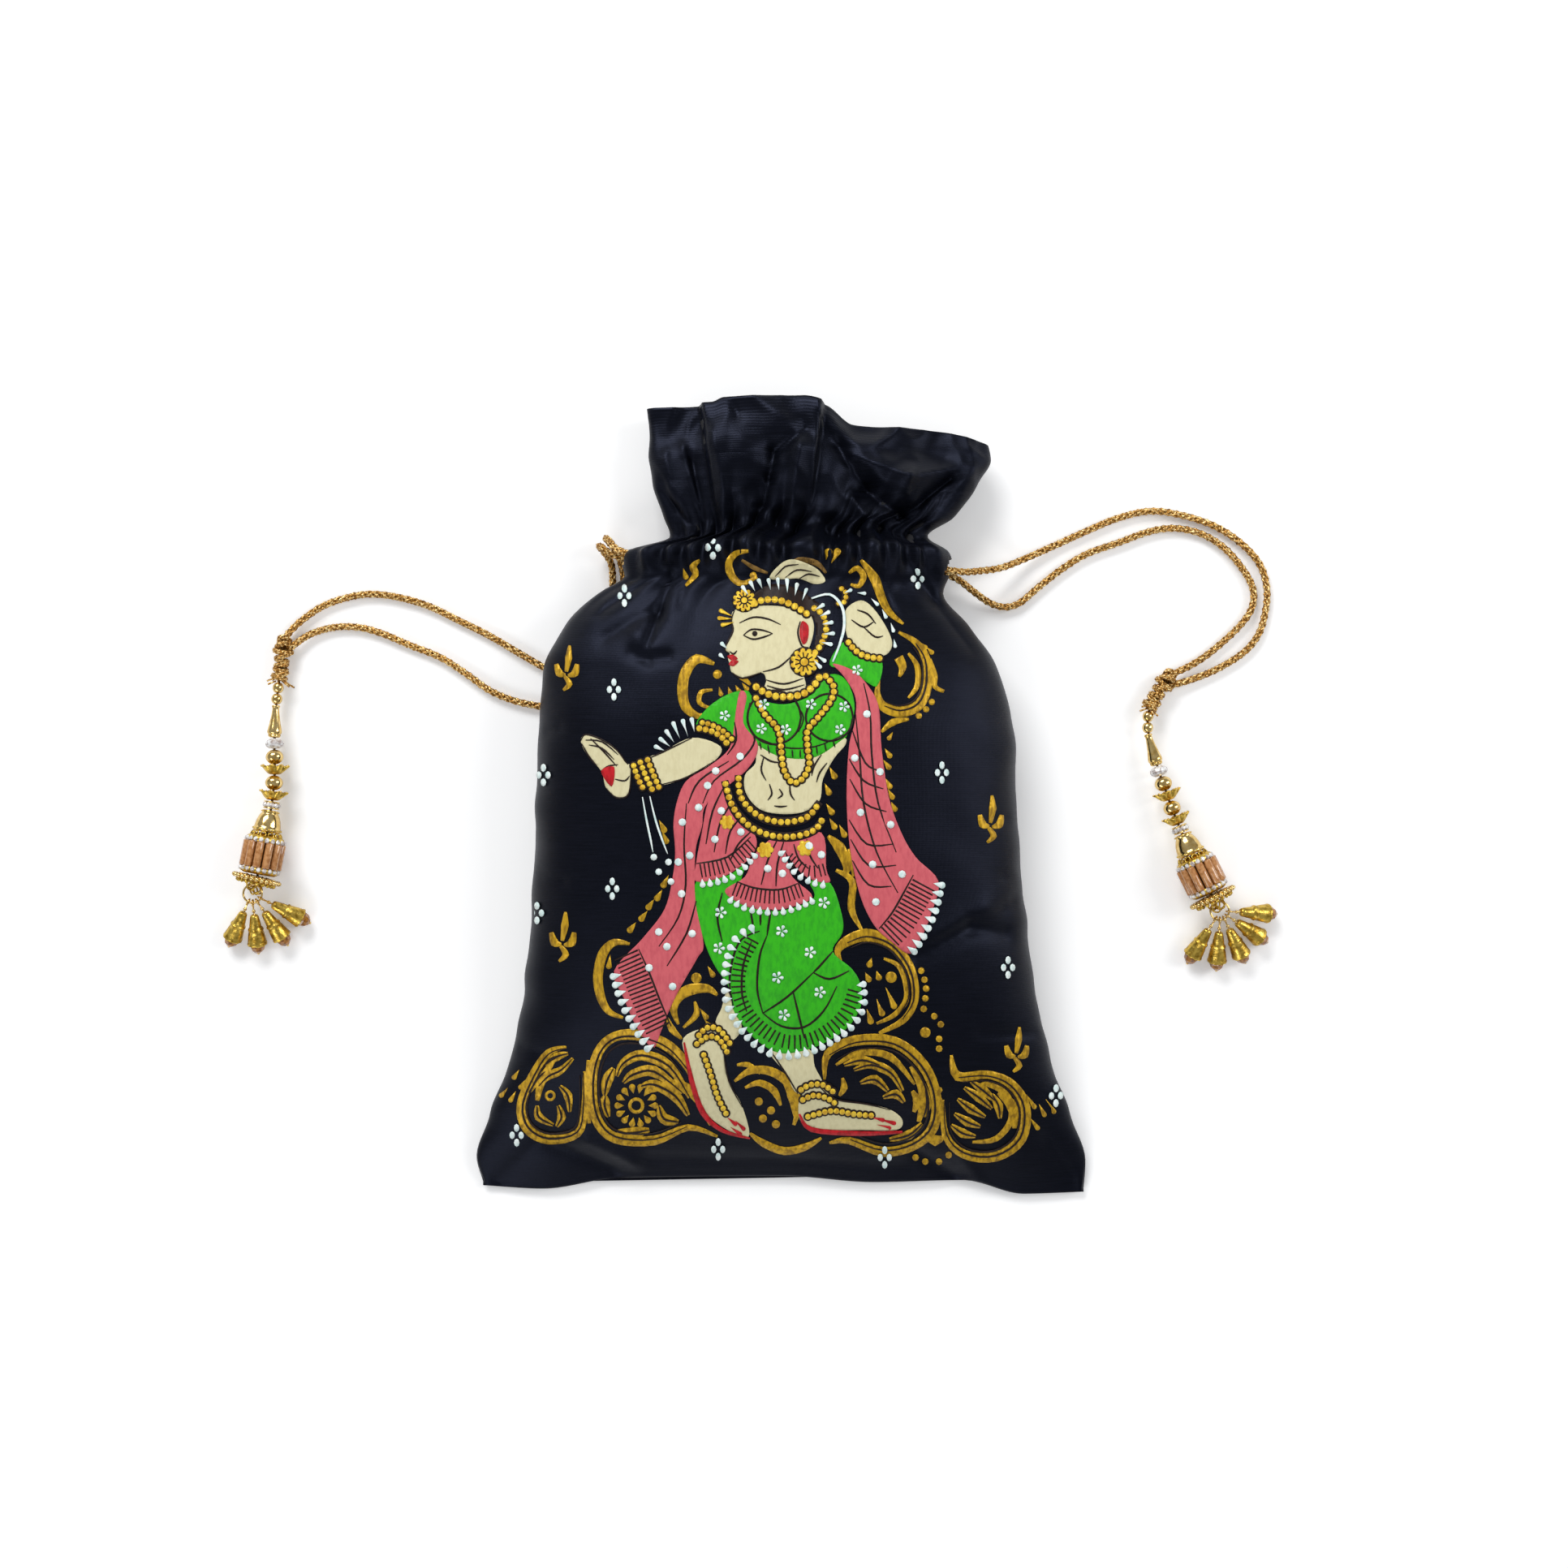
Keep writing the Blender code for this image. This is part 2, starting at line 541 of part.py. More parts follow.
def casing_turn(side, offset):
    """The route of one string round the inside of the casing, from one exit to the other."""
    y = CASING_PLACE + offset
    inset = CLOTH_WALL + GAP + CORD_DIAMETER / 2
    start = math.pi + LOWER_EXIT if side == "left" else TOP_EXIT
    turn = 2 * math.pi - TOP_EXIT - LOWER_EXIT
    fine = [section_point(y, start + turn * i / CASING_STEPS, inset)[0] for i in range(CASING_STEPS + 1)]
    return even_points(fine, CORD_STEP * CORD_DIAMETER)


def drawstring(side, offset, first_route, last_route, collection):
    """One string: its turn in the casing, and its two free ends."""
    turn = casing_turn(side, offset)
    tube(side + "_string_in_casing", turn, CORD_DIAMETER, ZARI, collection)
    for name, end, before, route in (
        (first_route[0], turn[0], turn[1], first_route[1]),
        (last_route[0], turn[-1], turn[-2], last_route[1]),
    ):
        leave = (end - before).normalized()
        exit_point = end + leave * GAP
        turn_out = end + leave * (GAP + CORD_DIAMETER / 2)
        points = [turn_out] + [laid(*place) for place in route]
        free = spline_points(points, CORD_STEP * CORD_DIAMETER)
        tube(name, [exit_point] + free, CORD_DIAMETER, ZARI, collection)


def tassel_line(route):
    """The thread's line from the knot to the ring, rising from the table as the beads get larger."""
    fine = spline_points([laid(*place) for place in route], LINE_STEP)
    for i, point in enumerate(fine):
        point.z = LINE_START_HEIGHT + (LINE_END_HEIGHT - LINE_START_HEIGHT) * i / (len(fine) - 1)
    return fine


def place_on_line(line, distance):
    """A frame whose origin lies on the line, and whose +Z looks back along it to the knot."""
    run = 0.0
    for before, after in zip(line, line[1:]):
        length = (after - before).length
        if run + length >= distance or after is line[-1]:
            point = before.lerp(after, (distance - run) / length)
            back = (before - after).normalized()
            break
        run += length
    side = Vector((0.0, 0.0, 1.0)).cross(back).normalized()
    up = back.cross(side)
    return Matrix.Translation(point) @ Matrix((side, up, back)).transposed().to_4x4()


def knot(name, line, finish, collection):
    """The cord wound round the thread, from just below the top of the line."""
    radius = THREAD_DIAMETER / 2 + GAP + KNOT_TUBE / 2
    count = round(KNOT_TURNS * KNOT_STEPS_PER_TURN)
    points = []
    for i in range(count + 1):
        turned = i / KNOT_STEPS_PER_TURN
        frame = place_on_line(line, KNOT_TUBE / 2 + turned * KNOT_PITCH)
        angle = 2 * math.pi * turned
        points.append(frame @ Vector((radius * math.cos(angle), radius * math.sin(angle), 0.0)))
    tube(name, points, KNOT_TUBE, finish, collection)
    return KNOT_TUBE + KNOT_TURNS * KNOT_PITCH


def closed_profile(name, points):
    """A closed outline of (radius, height) points in the XZ plane, ready to turn about +Z."""
    mesh = bpy.data.meshes.new(name)
    count = len(points)
    mesh.from_pydata([(r, 0.0, z) for r, z in points], [(i, (i + 1) % count) for i in range(count)], [])
    return mesh


def bored(side):
    """A bead's outer side, closed along its bore."""
    return [*side, (BORE_RADIUS, side[-1][1]), (BORE_RADIUS, side[0][1])]


def add_turned(name, side, frame, finish, collection):
    bead = add_object(name, closed_profile(name, bored(side)), finish, collection)
    bead.matrix_world = frame
    screw_round(bead, BEAD_STEPS)


def screw_round(obj, steps):
    screw = obj.modifiers.new("turn", "SCREW")
    screw.steps = steps
    screw.render_steps = steps
    screw.use_merge_vertices = True
    screw.merge_threshold = 0.01 * MM
    screw.use_smooth_shade = True


def add_furrowed(name, side, furrows, depths, frame, finish, collection):
    """A turned bead with furrows all round; side is its outer side, depths the furrows' depth there."""
    profile = bored(side)
    bm = bmesh.new()
    verts = [bm.verts.new((r, 0.0, z)) for r, z in profile]
    edges = [bm.edges.new((verts[i - 1], verts[i])) for i in range(len(verts))]
    steps = 2 * furrows
    bmesh.ops.spin(
        bm, geom=verts + edges, axis=(0, 0, 1), cent=(0, 0, 0),
        steps=steps, angle=2 * math.pi, use_merge=True,
    )
    bmesh.ops.remove_doubles(bm, verts=bm.verts, dist=0.001 * MM)
    depth_at = {round(z / MM, 4): share for (_, z), share in zip(side, depths)}
    for vert in bm.verts:
        on_bore = math.hypot(vert.co.x, vert.co.y) < BORE_RADIUS * 1.01
        step = round(math.atan2(vert.co.y, vert.co.x) / math.pi * furrows)
        if step % 2 and not on_bore:
            vert.co.xy *= 1 - depth_at[round(vert.co.z / MM, 4)]
    bmesh.ops.recalc_face_normals(bm, faces=bm.faces)
    mesh = bpy.data.meshes.new(name)
    bm.to_mesh(mesh)
    bm.free()
    bead = add_object(name, mesh, finish, collection)
    bead.matrix_world = frame


def outline(shape, diameter, length):
    """A bead's outline in metres, from its shape in shares."""
    return [(radius * diameter / 2, height * length) for radius, height in shape]


def ball_outline(diameter, length):
    """A ball bead, slightly flattened, with a flat lip round its bore."""
    lip = math.asin(2 * (BORE_RADIUS + BALL_LIP) / diameter)
    angles = [lip + (math.pi - 2 * lip) * i / 4 for i in range(5)]
    stretch = length / (diameter * math.cos(lip))
    return [(diameter / 2 * math.sin(a), diameter / 2 * stretch * math.cos(a)) for a in angles]


def tassel_beads():
    """The beads from the knot on: name, length, finish, outer side, furrows round it and their depths."""
    small = ball_outline(BALL_SMALL, BALL_SMALL_LENGTH)
    large = ball_outline(BALL_LARGE, BALL_LARGE_LENGTH)
    cone = outline(CONE_SHAPE, CONE, CONE_LENGTH)
    glass = outline(RONDELLE_SHAPE, GLASS_RONDELLE, GLASS_RONDELLE_LENGTH)
    cap = outline(FLOWER_CAP_SHAPE, FLOWER_CAP, FLOWER_CAP_LENGTH)
    stones = outline(RONDELLE_SHAPE, STONE_RONDELLE, STONE_RONDELLE_LENGTH)
    dome = outline(DOME_SHAPE, DOME, DOME_LENGTH)
    barrel = outline(BARREL_SHAPE, BARREL, BARREL_LENGTH)
    disc = outline(DISC_SHAPE, DISC, DISC_LENGTH)
    return (
        ("bead_1", BALL_SMALL_LENGTH, GOLD, small, 0, None),
        ("bead_2", BALL_SMALL_LENGTH, GOLD, small, 0, None),
        ("cone", CONE_LENGTH, GOLD, cone, 0, None),
        ("glass_rondelle", GLASS_RONDELLE_LENGTH, CRYSTAL, glass, 0, None),
        ("bead_3", BALL_LARGE_LENGTH, GOLD, large, 0, None),
        ("flower_cap_1", FLOWER_CAP_LENGTH, ANTIQUE, cap, PETALS, PETAL_FURROWS),
        ("bead_4", BALL_LARGE_LENGTH, GOLD, large, 0, None),
        ("flower_cap_2", FLOWER_CAP_LENGTH, ANTIQUE, cap, PETALS, PETAL_FURROWS),
        ("stone_rondelle", STONE_RONDELLE_LENGTH, CRYSTAL, stones, 0, None),
        ("dome", DOME_LENGTH, GOLD, dome, 0, None),
        ("barrel", BARREL_LENGTH, ROSE, barrel, BARREL_RODS, ROD_FURROWS),
        ("disc", DISC_LENGTH, ANTIQUE, disc, DISC_SCALLOPS, SCALLOP_FURROWS),
    )


def bell_mesh():
    """The bell's profile: a hollow cone with a ridge and a flared rim. Its top lies at z = -PIN_NECK."""
    hole = EYE_WIRE / 2 + GAP
    outer = outline(BELL_SHAPE, BELL, BELL_LENGTH)
    waist = outer[2]
    rim = outer[-1]
    inner = [
        (rim[0] - BELL_WALL, rim[1]), (waist[0] - BELL_WALL, waist[1]), (hole, -BELL_HEAD), (hole, 0.0),
    ]
    mesh = closed_profile("bell", [(radius, height - PIN_NECK) for radius, height in outer + inner])
    mesh.materials.append(material(ANTIQUE))
    return mesh


def pin_mesh():
    """The wire pin with its faceted drop, and the eye at its top."""
    wire = EYE_WIRE / 2
    top = PIN_BITE - EYE / 2
    start = DROP_CLEARANCE - PIN_NECK - BELL_LENGTH
    drop = [(radius, height + start) for radius, height in outline(DROP_SHAPE, DROP, DROP_LENGTH)]
    profile = [(0.0, top), (wire, top), (wire, start), *drop, (0.0, start - DROP_LENGTH)]
    mesh = bpy.data.meshes.new("pin_profile")
    mesh.from_pydata([(r, 0.0, h) for r, h in profile], [(i, i + 1) for i in range(len(profile) - 1)], [])
    pin = bpy.data.objects.new("pin_profile", mesh)
    bpy.context.scene.collection.objects.link(pin)
    screw_round(pin, BELL_STEPS)
    bpy.ops.mesh.primitive_torus_add(
        major_radius=EYE / 2, minor_radius=EYE_WIRE / 2, major_segments=10, minor_segments=5,
        location=(0, 0, 0), rotation=(math.pi / 2, 0.0, 0.0),
    )
    eye = bpy.context.object
    join = pin.modifiers.new("eye", "BOOLEAN")
    join.operation = "UNION"
    join.solver = "EXACT"
    join.object = eye
    graph = bpy.context.evaluated_depsgraph_get()
    made = bpy.data.meshes.new_from_object(pin.evaluated_get(graph))
    made.name = "bell_pin"
    made.materials.clear()
    made.materials.append(material(AMBER))
    bpy.data.objects.remove(pin, do_unlink=True)
    bpy.data.objects.remove(eye, do_unlink=True)
    return made


def bells(side, centre, headings, bell, pin, collection):
    """The bells hang on the ring like links, fanned out and sloping down to the table."""
    for number, heading in enumerate(headings, 1):
        turn = Matrix.Rotation(math.radians(heading), 4, "Z")
        hook = centre + turn @ Vector((TASSEL_RING / 2, 0.0, 0.0))
        # The bell's own -Z turns to the heading and slopes down from the hook.
        lean = Matrix.Rotation(-(math.pi / 2 - BELL_SLOPE), 4, "Y")
        frame = Matrix.Translation(hook) @ turn @ lean
        bell_object = add_object(f"{side}_bell_{number}", bell, ANTIQUE, collection)
        bell_object.matrix_world = frame
        screw_round(bell_object, BELL_STEPS)
        drop_object = add_object(f"{side}_bell_{number}_drop", pin, AMBER, collection)
        drop_object.matrix_world = frame


def tassel(side, route, headings, bell, pin, collection):
    """Knot, thread, beads, ring and bells of one side."""
    line = tassel_line(route)
    place = knot(side + "_knot", line, ZARI, collection) + GAP
    for name, length, finish, bead_side, furrows, depths in tassel_beads():
        frame = place_on_line(line, place + length / 2)
        if furrows:
            add_furrowed(f"{side}_{name}", bead_side, furrows, depths, frame, finish, collection)
        else:
            add_turned(f"{side}_{name}", bead_side, frame, finish, collection)
        place += length + BEAD_GAP
    outer_ring = (TASSEL_RING + RING_WIRE) / 2
    centre = place_on_line(line, place + outer_ring).translation
    bpy.ops.mesh.primitive_torus_add(
        major_radius=TASSEL_RING / 2, minor_radius=RING_WIRE / 2, major_segments=14, minor_segments=5,
        location=centre,
    )
    ring = bpy.context.object
    ring.name = side + "_ring"
    for owner in list(ring.users_collection):
        owner.objects.unlink(ring)
    collection.objects.link(ring)
    ring.data.materials.append(material(GOLD))
    ring.data.shade_smooth()
    reach = place - BEAD_GAP
    thread = [place_on_line(line, reach * i / THREAD_STEPS).translation for i in range(THREAD_STEPS + 1)]
    tube(side + "_thread", thread, THREAD_DIAMETER, THREAD, collection)
    bells(side, centre, headings, bell, pin, collection)


def build():
    clear_scene()
    collection = new_collection("potli_bag")
    cloth_bag(
        "outer_bag", RING_PLACES, SHELL_HALF_COLUMNS, lambda y: 0.0, CLOTH_WALL, 0.0, True,
        SILK, collection,
    )
    cloth_bag(
        "lining", along(LINING_PLACES), LINING_HALF_COLUMNS, lining_room, LINING_WALL, LINING_EASE, False,
        LINING_CLOTH, collection,
    )
    drawstring(
        "left", LEFT_STRING_OFFSET,
        ("left_cord_upper", LEFT_UPPER_ROUTE), ("left_cord_lower", LEFT_LOWER_ROUTE), collection,
    )
    drawstring(
        "right", RIGHT_STRING_OFFSET,
        ("right_cord_upper", RIGHT_UPPER_ROUTE), ("right_cord_lower", RIGHT_LOWER_ROUTE), collection,
    )
    bell = bell_mesh()
    pin = pin_mesh()
    tassel("left", LEFT_TASSEL_LINE, LEFT_BELL_HEADINGS, bell, pin, collection)
    tassel("right", RIGHT_TASSEL_LINE, RIGHT_BELL_HEADINGS, bell, pin, collection)


build()
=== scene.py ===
"""Looks of a potli bag: painted black silk, gold drawstrings, and bead tassels with small bells.

The bag lies on its back. X runs across it, Y from the bottom seam to the mouth, and Z up.
"""

import math

import bmesh
import bpy
from mathutils import Matrix, Vector, noise
from mathutils.bvhtree import BVHTree
from mathutils.geometry import delaunay_2d_cdt


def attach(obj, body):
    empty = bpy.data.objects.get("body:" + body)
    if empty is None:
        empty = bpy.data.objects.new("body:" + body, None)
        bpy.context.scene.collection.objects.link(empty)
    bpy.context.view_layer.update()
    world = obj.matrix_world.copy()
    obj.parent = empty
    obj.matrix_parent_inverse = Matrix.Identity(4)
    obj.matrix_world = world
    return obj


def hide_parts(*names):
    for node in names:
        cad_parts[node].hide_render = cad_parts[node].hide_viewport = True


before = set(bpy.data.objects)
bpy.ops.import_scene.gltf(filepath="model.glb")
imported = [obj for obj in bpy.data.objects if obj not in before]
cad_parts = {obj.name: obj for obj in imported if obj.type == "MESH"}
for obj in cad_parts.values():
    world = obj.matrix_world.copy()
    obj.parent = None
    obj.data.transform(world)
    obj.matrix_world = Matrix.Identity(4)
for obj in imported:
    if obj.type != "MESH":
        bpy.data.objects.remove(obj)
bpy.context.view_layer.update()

MM = 0.001

# The photograph: a square frame, seen from straight above.
PHOTO_SIZE = 1932
PHOTO_STEP = 0.2373 * MM           # what one of its pixels spans on the table
LENS = 50.0
SENSOR = 36.0
VIEW_HEIGHT = PHOTO_SIZE * PHOTO_STEP * LENS / SENSOR
VIEW = Vector((0.7 * MM, 4.4 * MM, VIEW_HEIGHT))

# Cloth, as in the construction. Each station gives, in millimetres: its place along Y, the left edge,
# the right edge, the height of the top, the height of the side edges.
STATIONS = (
    (-110.0, -87.0, 88.0, 3.4, 1.7),
    (-103.0, -88.8, 88.6, 8.5, 2.6),
    (-92.0, -85.0, 84.4, 16.0, 4.5),
    (-74.0, -78.2, 77.2, 26.0, 7.0),
    (-44.0, -72.6, 71.6, 34.0, 9.0),
    (-10.0, -71.0, 68.0, 36.5, 10.0),
    (18.0, -69.6, 66.8, 36.0, 10.5),
    (38.0, -67.8, 61.6, 32.5, 11.0),
    (50.0, -62.2, 53.6, 29.0, 11.5),
    (59.5, -52.0, 46.4, 26.0, 12.0),
    (64.2, -44.0, 47.0, 24.8, 12.0),
    (70.6, -43.0, 46.4, 24.4, 12.0),
    (75.4, -31.6, 41.8, 19.0, 10.5),
    (81.0, -33.6, 49.4, 20.0, 10.5),
    (92.0, -37.4, 56.4, 21.0, 10.0),
    (103.0, -38.2, 60.6, 18.5, 9.5),
    (111.0, -38.6, 60.0, 15.5, 9.0),
)
BOTTOM_SEAM = (
    (-1.0, -1.5), (-0.8, -2.5), (-0.55, 0.6), (0.0, 1.2),
    (0.3, -0.6), (0.6, 0.0), (0.8, -4.0), (1.0, -3.4),
)
BOTTOM_REACH = 40.0
MOUTH_EDGE = (
    (-1.0, 1.4), (-0.62, 1.8), (-0.55, 3.0), (-0.1, 3.4),
    (0.05, 1.5), (0.2, -3.8), (0.7, -5.5), (1.0, -9.0),
)
MOUTH_REACH = 30.0
SECTION_POWER = 2.3
UNDERSIDE_FLAT = 0.89
UNDERSIDE_CURVE = 1.6
FIRST_ROW = -110.0
LAST_ROW = 111.0
NECK = 75.4
COLUMNS = (176, 60)                # on the front and on the back
LINING_COLUMNS = (88, 30)
CLOTH_WALL = 0.5 * MM
SLIT_HALF_HEIGHT = 5.5             # round the side seam, for the strings
SLITS = (                          # from and to along Y, and the columns of the side seam
    (66.2, 71.4, (COLUMNS[0],)),
    (63.4, 68.6, (0, sum(COLUMNS))),
)
LINING_WALL = 0.3 * MM
LINING_ROWS = [-106.0 + 3.0 * i for i in range(72)]
LINING_INSET = 1.6
STRING_INSET = 2.9                 # the lining makes this much more room for the strings
STRING_INSET_REACH = 2.7
STRING_INSET_FADE = 5.0
ROW_STEP = 1.5
GATHERED_STEP_CUT = 0.75
RUFFLE_STEP_CUT = 0.6
PAINT_GRID = 5.0                   # pixels between a wide shape's inner points
PAINT_CELL = 24                    # pixels
PAINT_MERGE = 0.05                 # pixels
PAINT_LIFT = 0.1 * MM
PAINT_LAYER = 0.04 * MM
PAINT_COAT = 0.05 * MM
PAINT_LONGEST = 4.0 * MM           # no triangle of paint spans a fold wider than this
SEAM_ROUNDING = ((1.1, 0.05), (1.0, 0.45), (0.6, 0.8))    # beyond the first row, and share of its height

# Cords. Each route starts where the cord leaves its string inside the casing, in millimetres.
CORD_DIAMETER = 2.4 * MM
LEFT_UPPER_ROUTE = (
    (-38.84, 68.8, 9.89), (-39.89, 68.8, 10.48),
    (-48.4, 70.3, 9.9), (-51.4, 72.4, 9.2), (-52.8, 73.2, 6.2), (-51.6, 71.8, 2.9), (-49.6, 68.2, 1.5),
    (-49.4, 61.0, 1.3), (-50.6, 53.0, 1.3), (-53.4, 45.0, 1.3), (-58.4, 38.8, 1.3), (-63.4, 37.0, 1.3),
    (-68.4, 38.0, 1.3), (-75.8, 42.1, 1.3), (-85.0, 47.5, 1.3), (-94.0, 52.0, 1.3), (-103.0, 56.3, 1.3),
    (-112.0, 58.9, 1.3), (-120.3, 59.8, 1.3), (-127.4, 58.6, 1.3), (-133.8, 56.3, 1.3), (-139.6, 52.4, 1.5),
    (-143.4, 48.6, 2.2), (-146.2, 44.7, 2.7),
)
LEFT_LOWER_ROUTE = (
    (-38.62, 68.8, 16.24), (-39.72, 68.8, 15.76),
    (-46.8, 71.4, 14.0), (-49.4, 74.2, 10.6), (-50.8, 75.4, 6.8), (-49.8, 74.2, 3.2), (-47.4, 70.6, 1.5),
    (-46.0, 63.0, 1.3), (-46.6, 53.0, 1.3), (-48.2, 43.0, 1.3), (-51.6, 33.6, 1.3), (-57.4, 27.4, 1.3),
    (-64.2, 25.8, 1.3), (-70.8, 27.1, 1.3), (-77.7, 28.6, 1.3), (-85.0, 31.6, 1.3), (-92.1, 36.6, 1.3),
    (-99.5, 41.3, 1.3), (-108.5, 44.9, 1.3), (-115.8, 48.0, 1.3), (-122.2, 49.9, 1.3), (-128.4, 50.3, 1.3),
    (-133.8, 49.4, 1.4), (-138.6, 47.4, 1.9), (-143.7, 43.5, 3.0),
)
RIGHT_UPPER_ROUTE = (
    (42.18, 66, 16.3), (43.28, 66, 15.81),
    (51.6, 65.2, 12.8), (57.0, 65.8, 9.4), (63.4, 67.0, 5.6), (70.4, 69.8, 2.8), (79.3, 73.8, 1.4),
    (88.8, 78.1, 1.3), (98.0, 81.9, 1.3), (107.5, 84.0, 1.3), (116.8, 82.8, 1.3), (126.4, 79.6, 1.3),
    (134.2, 74.5, 1.3), (139.6, 68.3, 1.3), (141.6, 61.2, 1.3), (141.0, 53.9, 1.3), (139.0, 47.8, 1.3),
    (134.6, 42.6, 1.3), (127.0, 37.9, 1.3), (119.6, 34.9, 1.6), (112.6, 32.9, 2.6),
)
RIGHT_LOWER_ROUTE = (
    (42.41, 66, 9.88), (43.46, 66, 10.47),
    (50.6, 63.6, 8.2), (55.4, 60.4, 5.4), (60.4, 57.2, 3.0), (65.0, 56.0, 1.7), (69.4, 57.2, 1.3),
    (74.6, 61.5, 1.3), (81.2, 66.7, 1.3), (88.8, 71.4, 1.3), (98.0, 74.7, 1.3), (107.5, 78.1, 1.3),
    (114.9, 79.0, 1.3), (122.4, 77.4, 1.3), (129.0, 73.4, 1.3), (134.2, 67.6, 1.3), (137.4, 61.8, 1.3),
    (137.4, 56.4, 1.3), (134.6, 51.6, 1.3), (129.4, 46.4, 1.3), (123.8, 41.8, 1.3), (118.6, 38.6, 1.6),
    (111.5, 35.4, 3.5),
)
BRAID_PITCH = 9.0 * MM             # one strand's full turn round a cord
BRAID_RADIUS = 0.62 * MM
BRAID_WAVE = 0.2 * MM
BRAID_STEP = 0.55 * MM
STRAND = 0.7 * MM
KNOT_TUBE = 1.9 * MM
KNOT_TURNS = 3.5
KNOT_PITCH = 2.2 * MM
KNOT_RADIUS = 1.65 * MM
KNOT_ENDS = 6                      # frayed threads, from this many millimetres down the knot
KNOT_FOOT = 9.0
KNOT_LOOPS = (                     # each turn's place on the thread, its radius, its tilt and its heading
    (-2.4, 1.5, 0.9, 0.3), (-1.0, 2.0, 0.35, 1.1), (0.6, 2.2, -0.3, 0.2), (2.0, 1.9, 0.5, 2.0),
    (3.3, 1.5, -0.25, 0.8), (4.7, 1.4, 0.2, 1.7), (6.0, 1.6, -0.4, 0.4), (7.3, 1.9, 0.45, 2.3),
    (8.4, 1.6, -0.2, 1.0),
)
PLY_RADIUS = 0.2 * MM
GAP = 0.3 * MM

# Tassels: the line of each thread in millimetres, from the top of its knot to its ring.
LEFT_TASSEL_LINE = (
    (-145.0, 43.6), (-145.9, 36.0), (-146.8, 28.0), (-147.2, 18.0), (-147.0, 8.0), (-147.5, 0.0),
    (-148.8, -8.0), (-150.3, -17.0), (-152.2, -25.0), (-153.6, -30.0),
)
RIGHT_TASSEL_LINE = (
    (111.6, 34.0), (107.4, 27.4), (106.4, 20.6), (108.2, 12.4), (110.9, 4.0), (113.9, -4.6),
    (117.3, -13.0), (121.1, -21.4), (125.2, -29.6), (127.6, -34.2),
)
LINE_START_HEIGHT = 2.9 * MM
LINE_END_HEIGHT = 7.8 * MM
BORE = 0.7 * MM
BEAD_GAP = 0.4 * MM
TASSEL_RING = 5.4 * MM
RING_WIRE = 0.6 * MM
BARREL_RODS = 12
BARREL_STONES = 20
DISC_BEADS = 28
BELL_SLOPE = math.radians(21.0)
RING_LOOPS = 7                     # small loops of wire that hold the ring
LEFT_BELL_HEADINGS = (-118.0, -89.0, -60.0, -30.0)
RIGHT_BELL_HEADINGS = (-118.0, -89.5, -61.0, -32.5, -4.0)

# Soft lamps: name, place and size in metres, power in watts.
LAMPS = (
    ("key_lamp", (-0.45, 1.0, 0.85), (0.8, 0.45), 11.5),
    ("fill_lamp", (1.05, 0.3, 0.7), (0.45, 0.8), 6.0),
    ("front_lamp", (-0.6, -0.9, 0.8), (0.9, 0.4), 4.0),
)
WORLD_LIGHT = 0.34
WORLD_SEEN = 1.1
TABLE_SEEN = 0.16
TABLE_DROP = 0.2 * MM


def smooth_through(stations):
    """A smooth value through (place, value) stations that never swings past a station."""
    places = [station[0] for station in stations]
    values = [station[1] for station in stations]
    slopes = [(values[i + 1] - values[i]) / (places[i + 1] - places[i]) for i in range(len(places) - 1)]
    tangents = [slopes[0]]
    for before, after in zip(slopes, slopes[1:]):
        level = before * after <= 0
        tangents.append(0.0 if level else 2 * before * after / (before + after))
    tangents.append(slopes[-1])

    def value_at(place):
        place = min(max(place, places[0]), places[-1])
        i = max(index for index in range(len(slopes)) if places[index] <= place)
        width = places[i + 1] - places[i]
        t = (place - places[i]) / width
        start = (1 + 2 * t) * (1 - t) ** 2 * values[i] + t * t * (3 - 2 * t) * values[i + 1]
        return start + width * (t * (1 - t) ** 2 * tangents[i] - t * t * (1 - t) * tangents[i + 1])

    return value_at


LEFT_EDGE = smooth_through([(row[0], row[1]) for row in STATIONS])
RIGHT_EDGE = smooth_through([(row[0], row[2]) for row in STATIONS])
TOP_HEIGHT = smooth_through([(row[0], row[3]) for row in STATIONS])
EDGE_HEIGHT = smooth_through([(row[0], row[4]) for row in STATIONS])
BOTTOM_SHIFT = smooth_through(BOTTOM_SEAM)
MOUTH_SHIFT = smooth_through(MOUTH_EDGE)

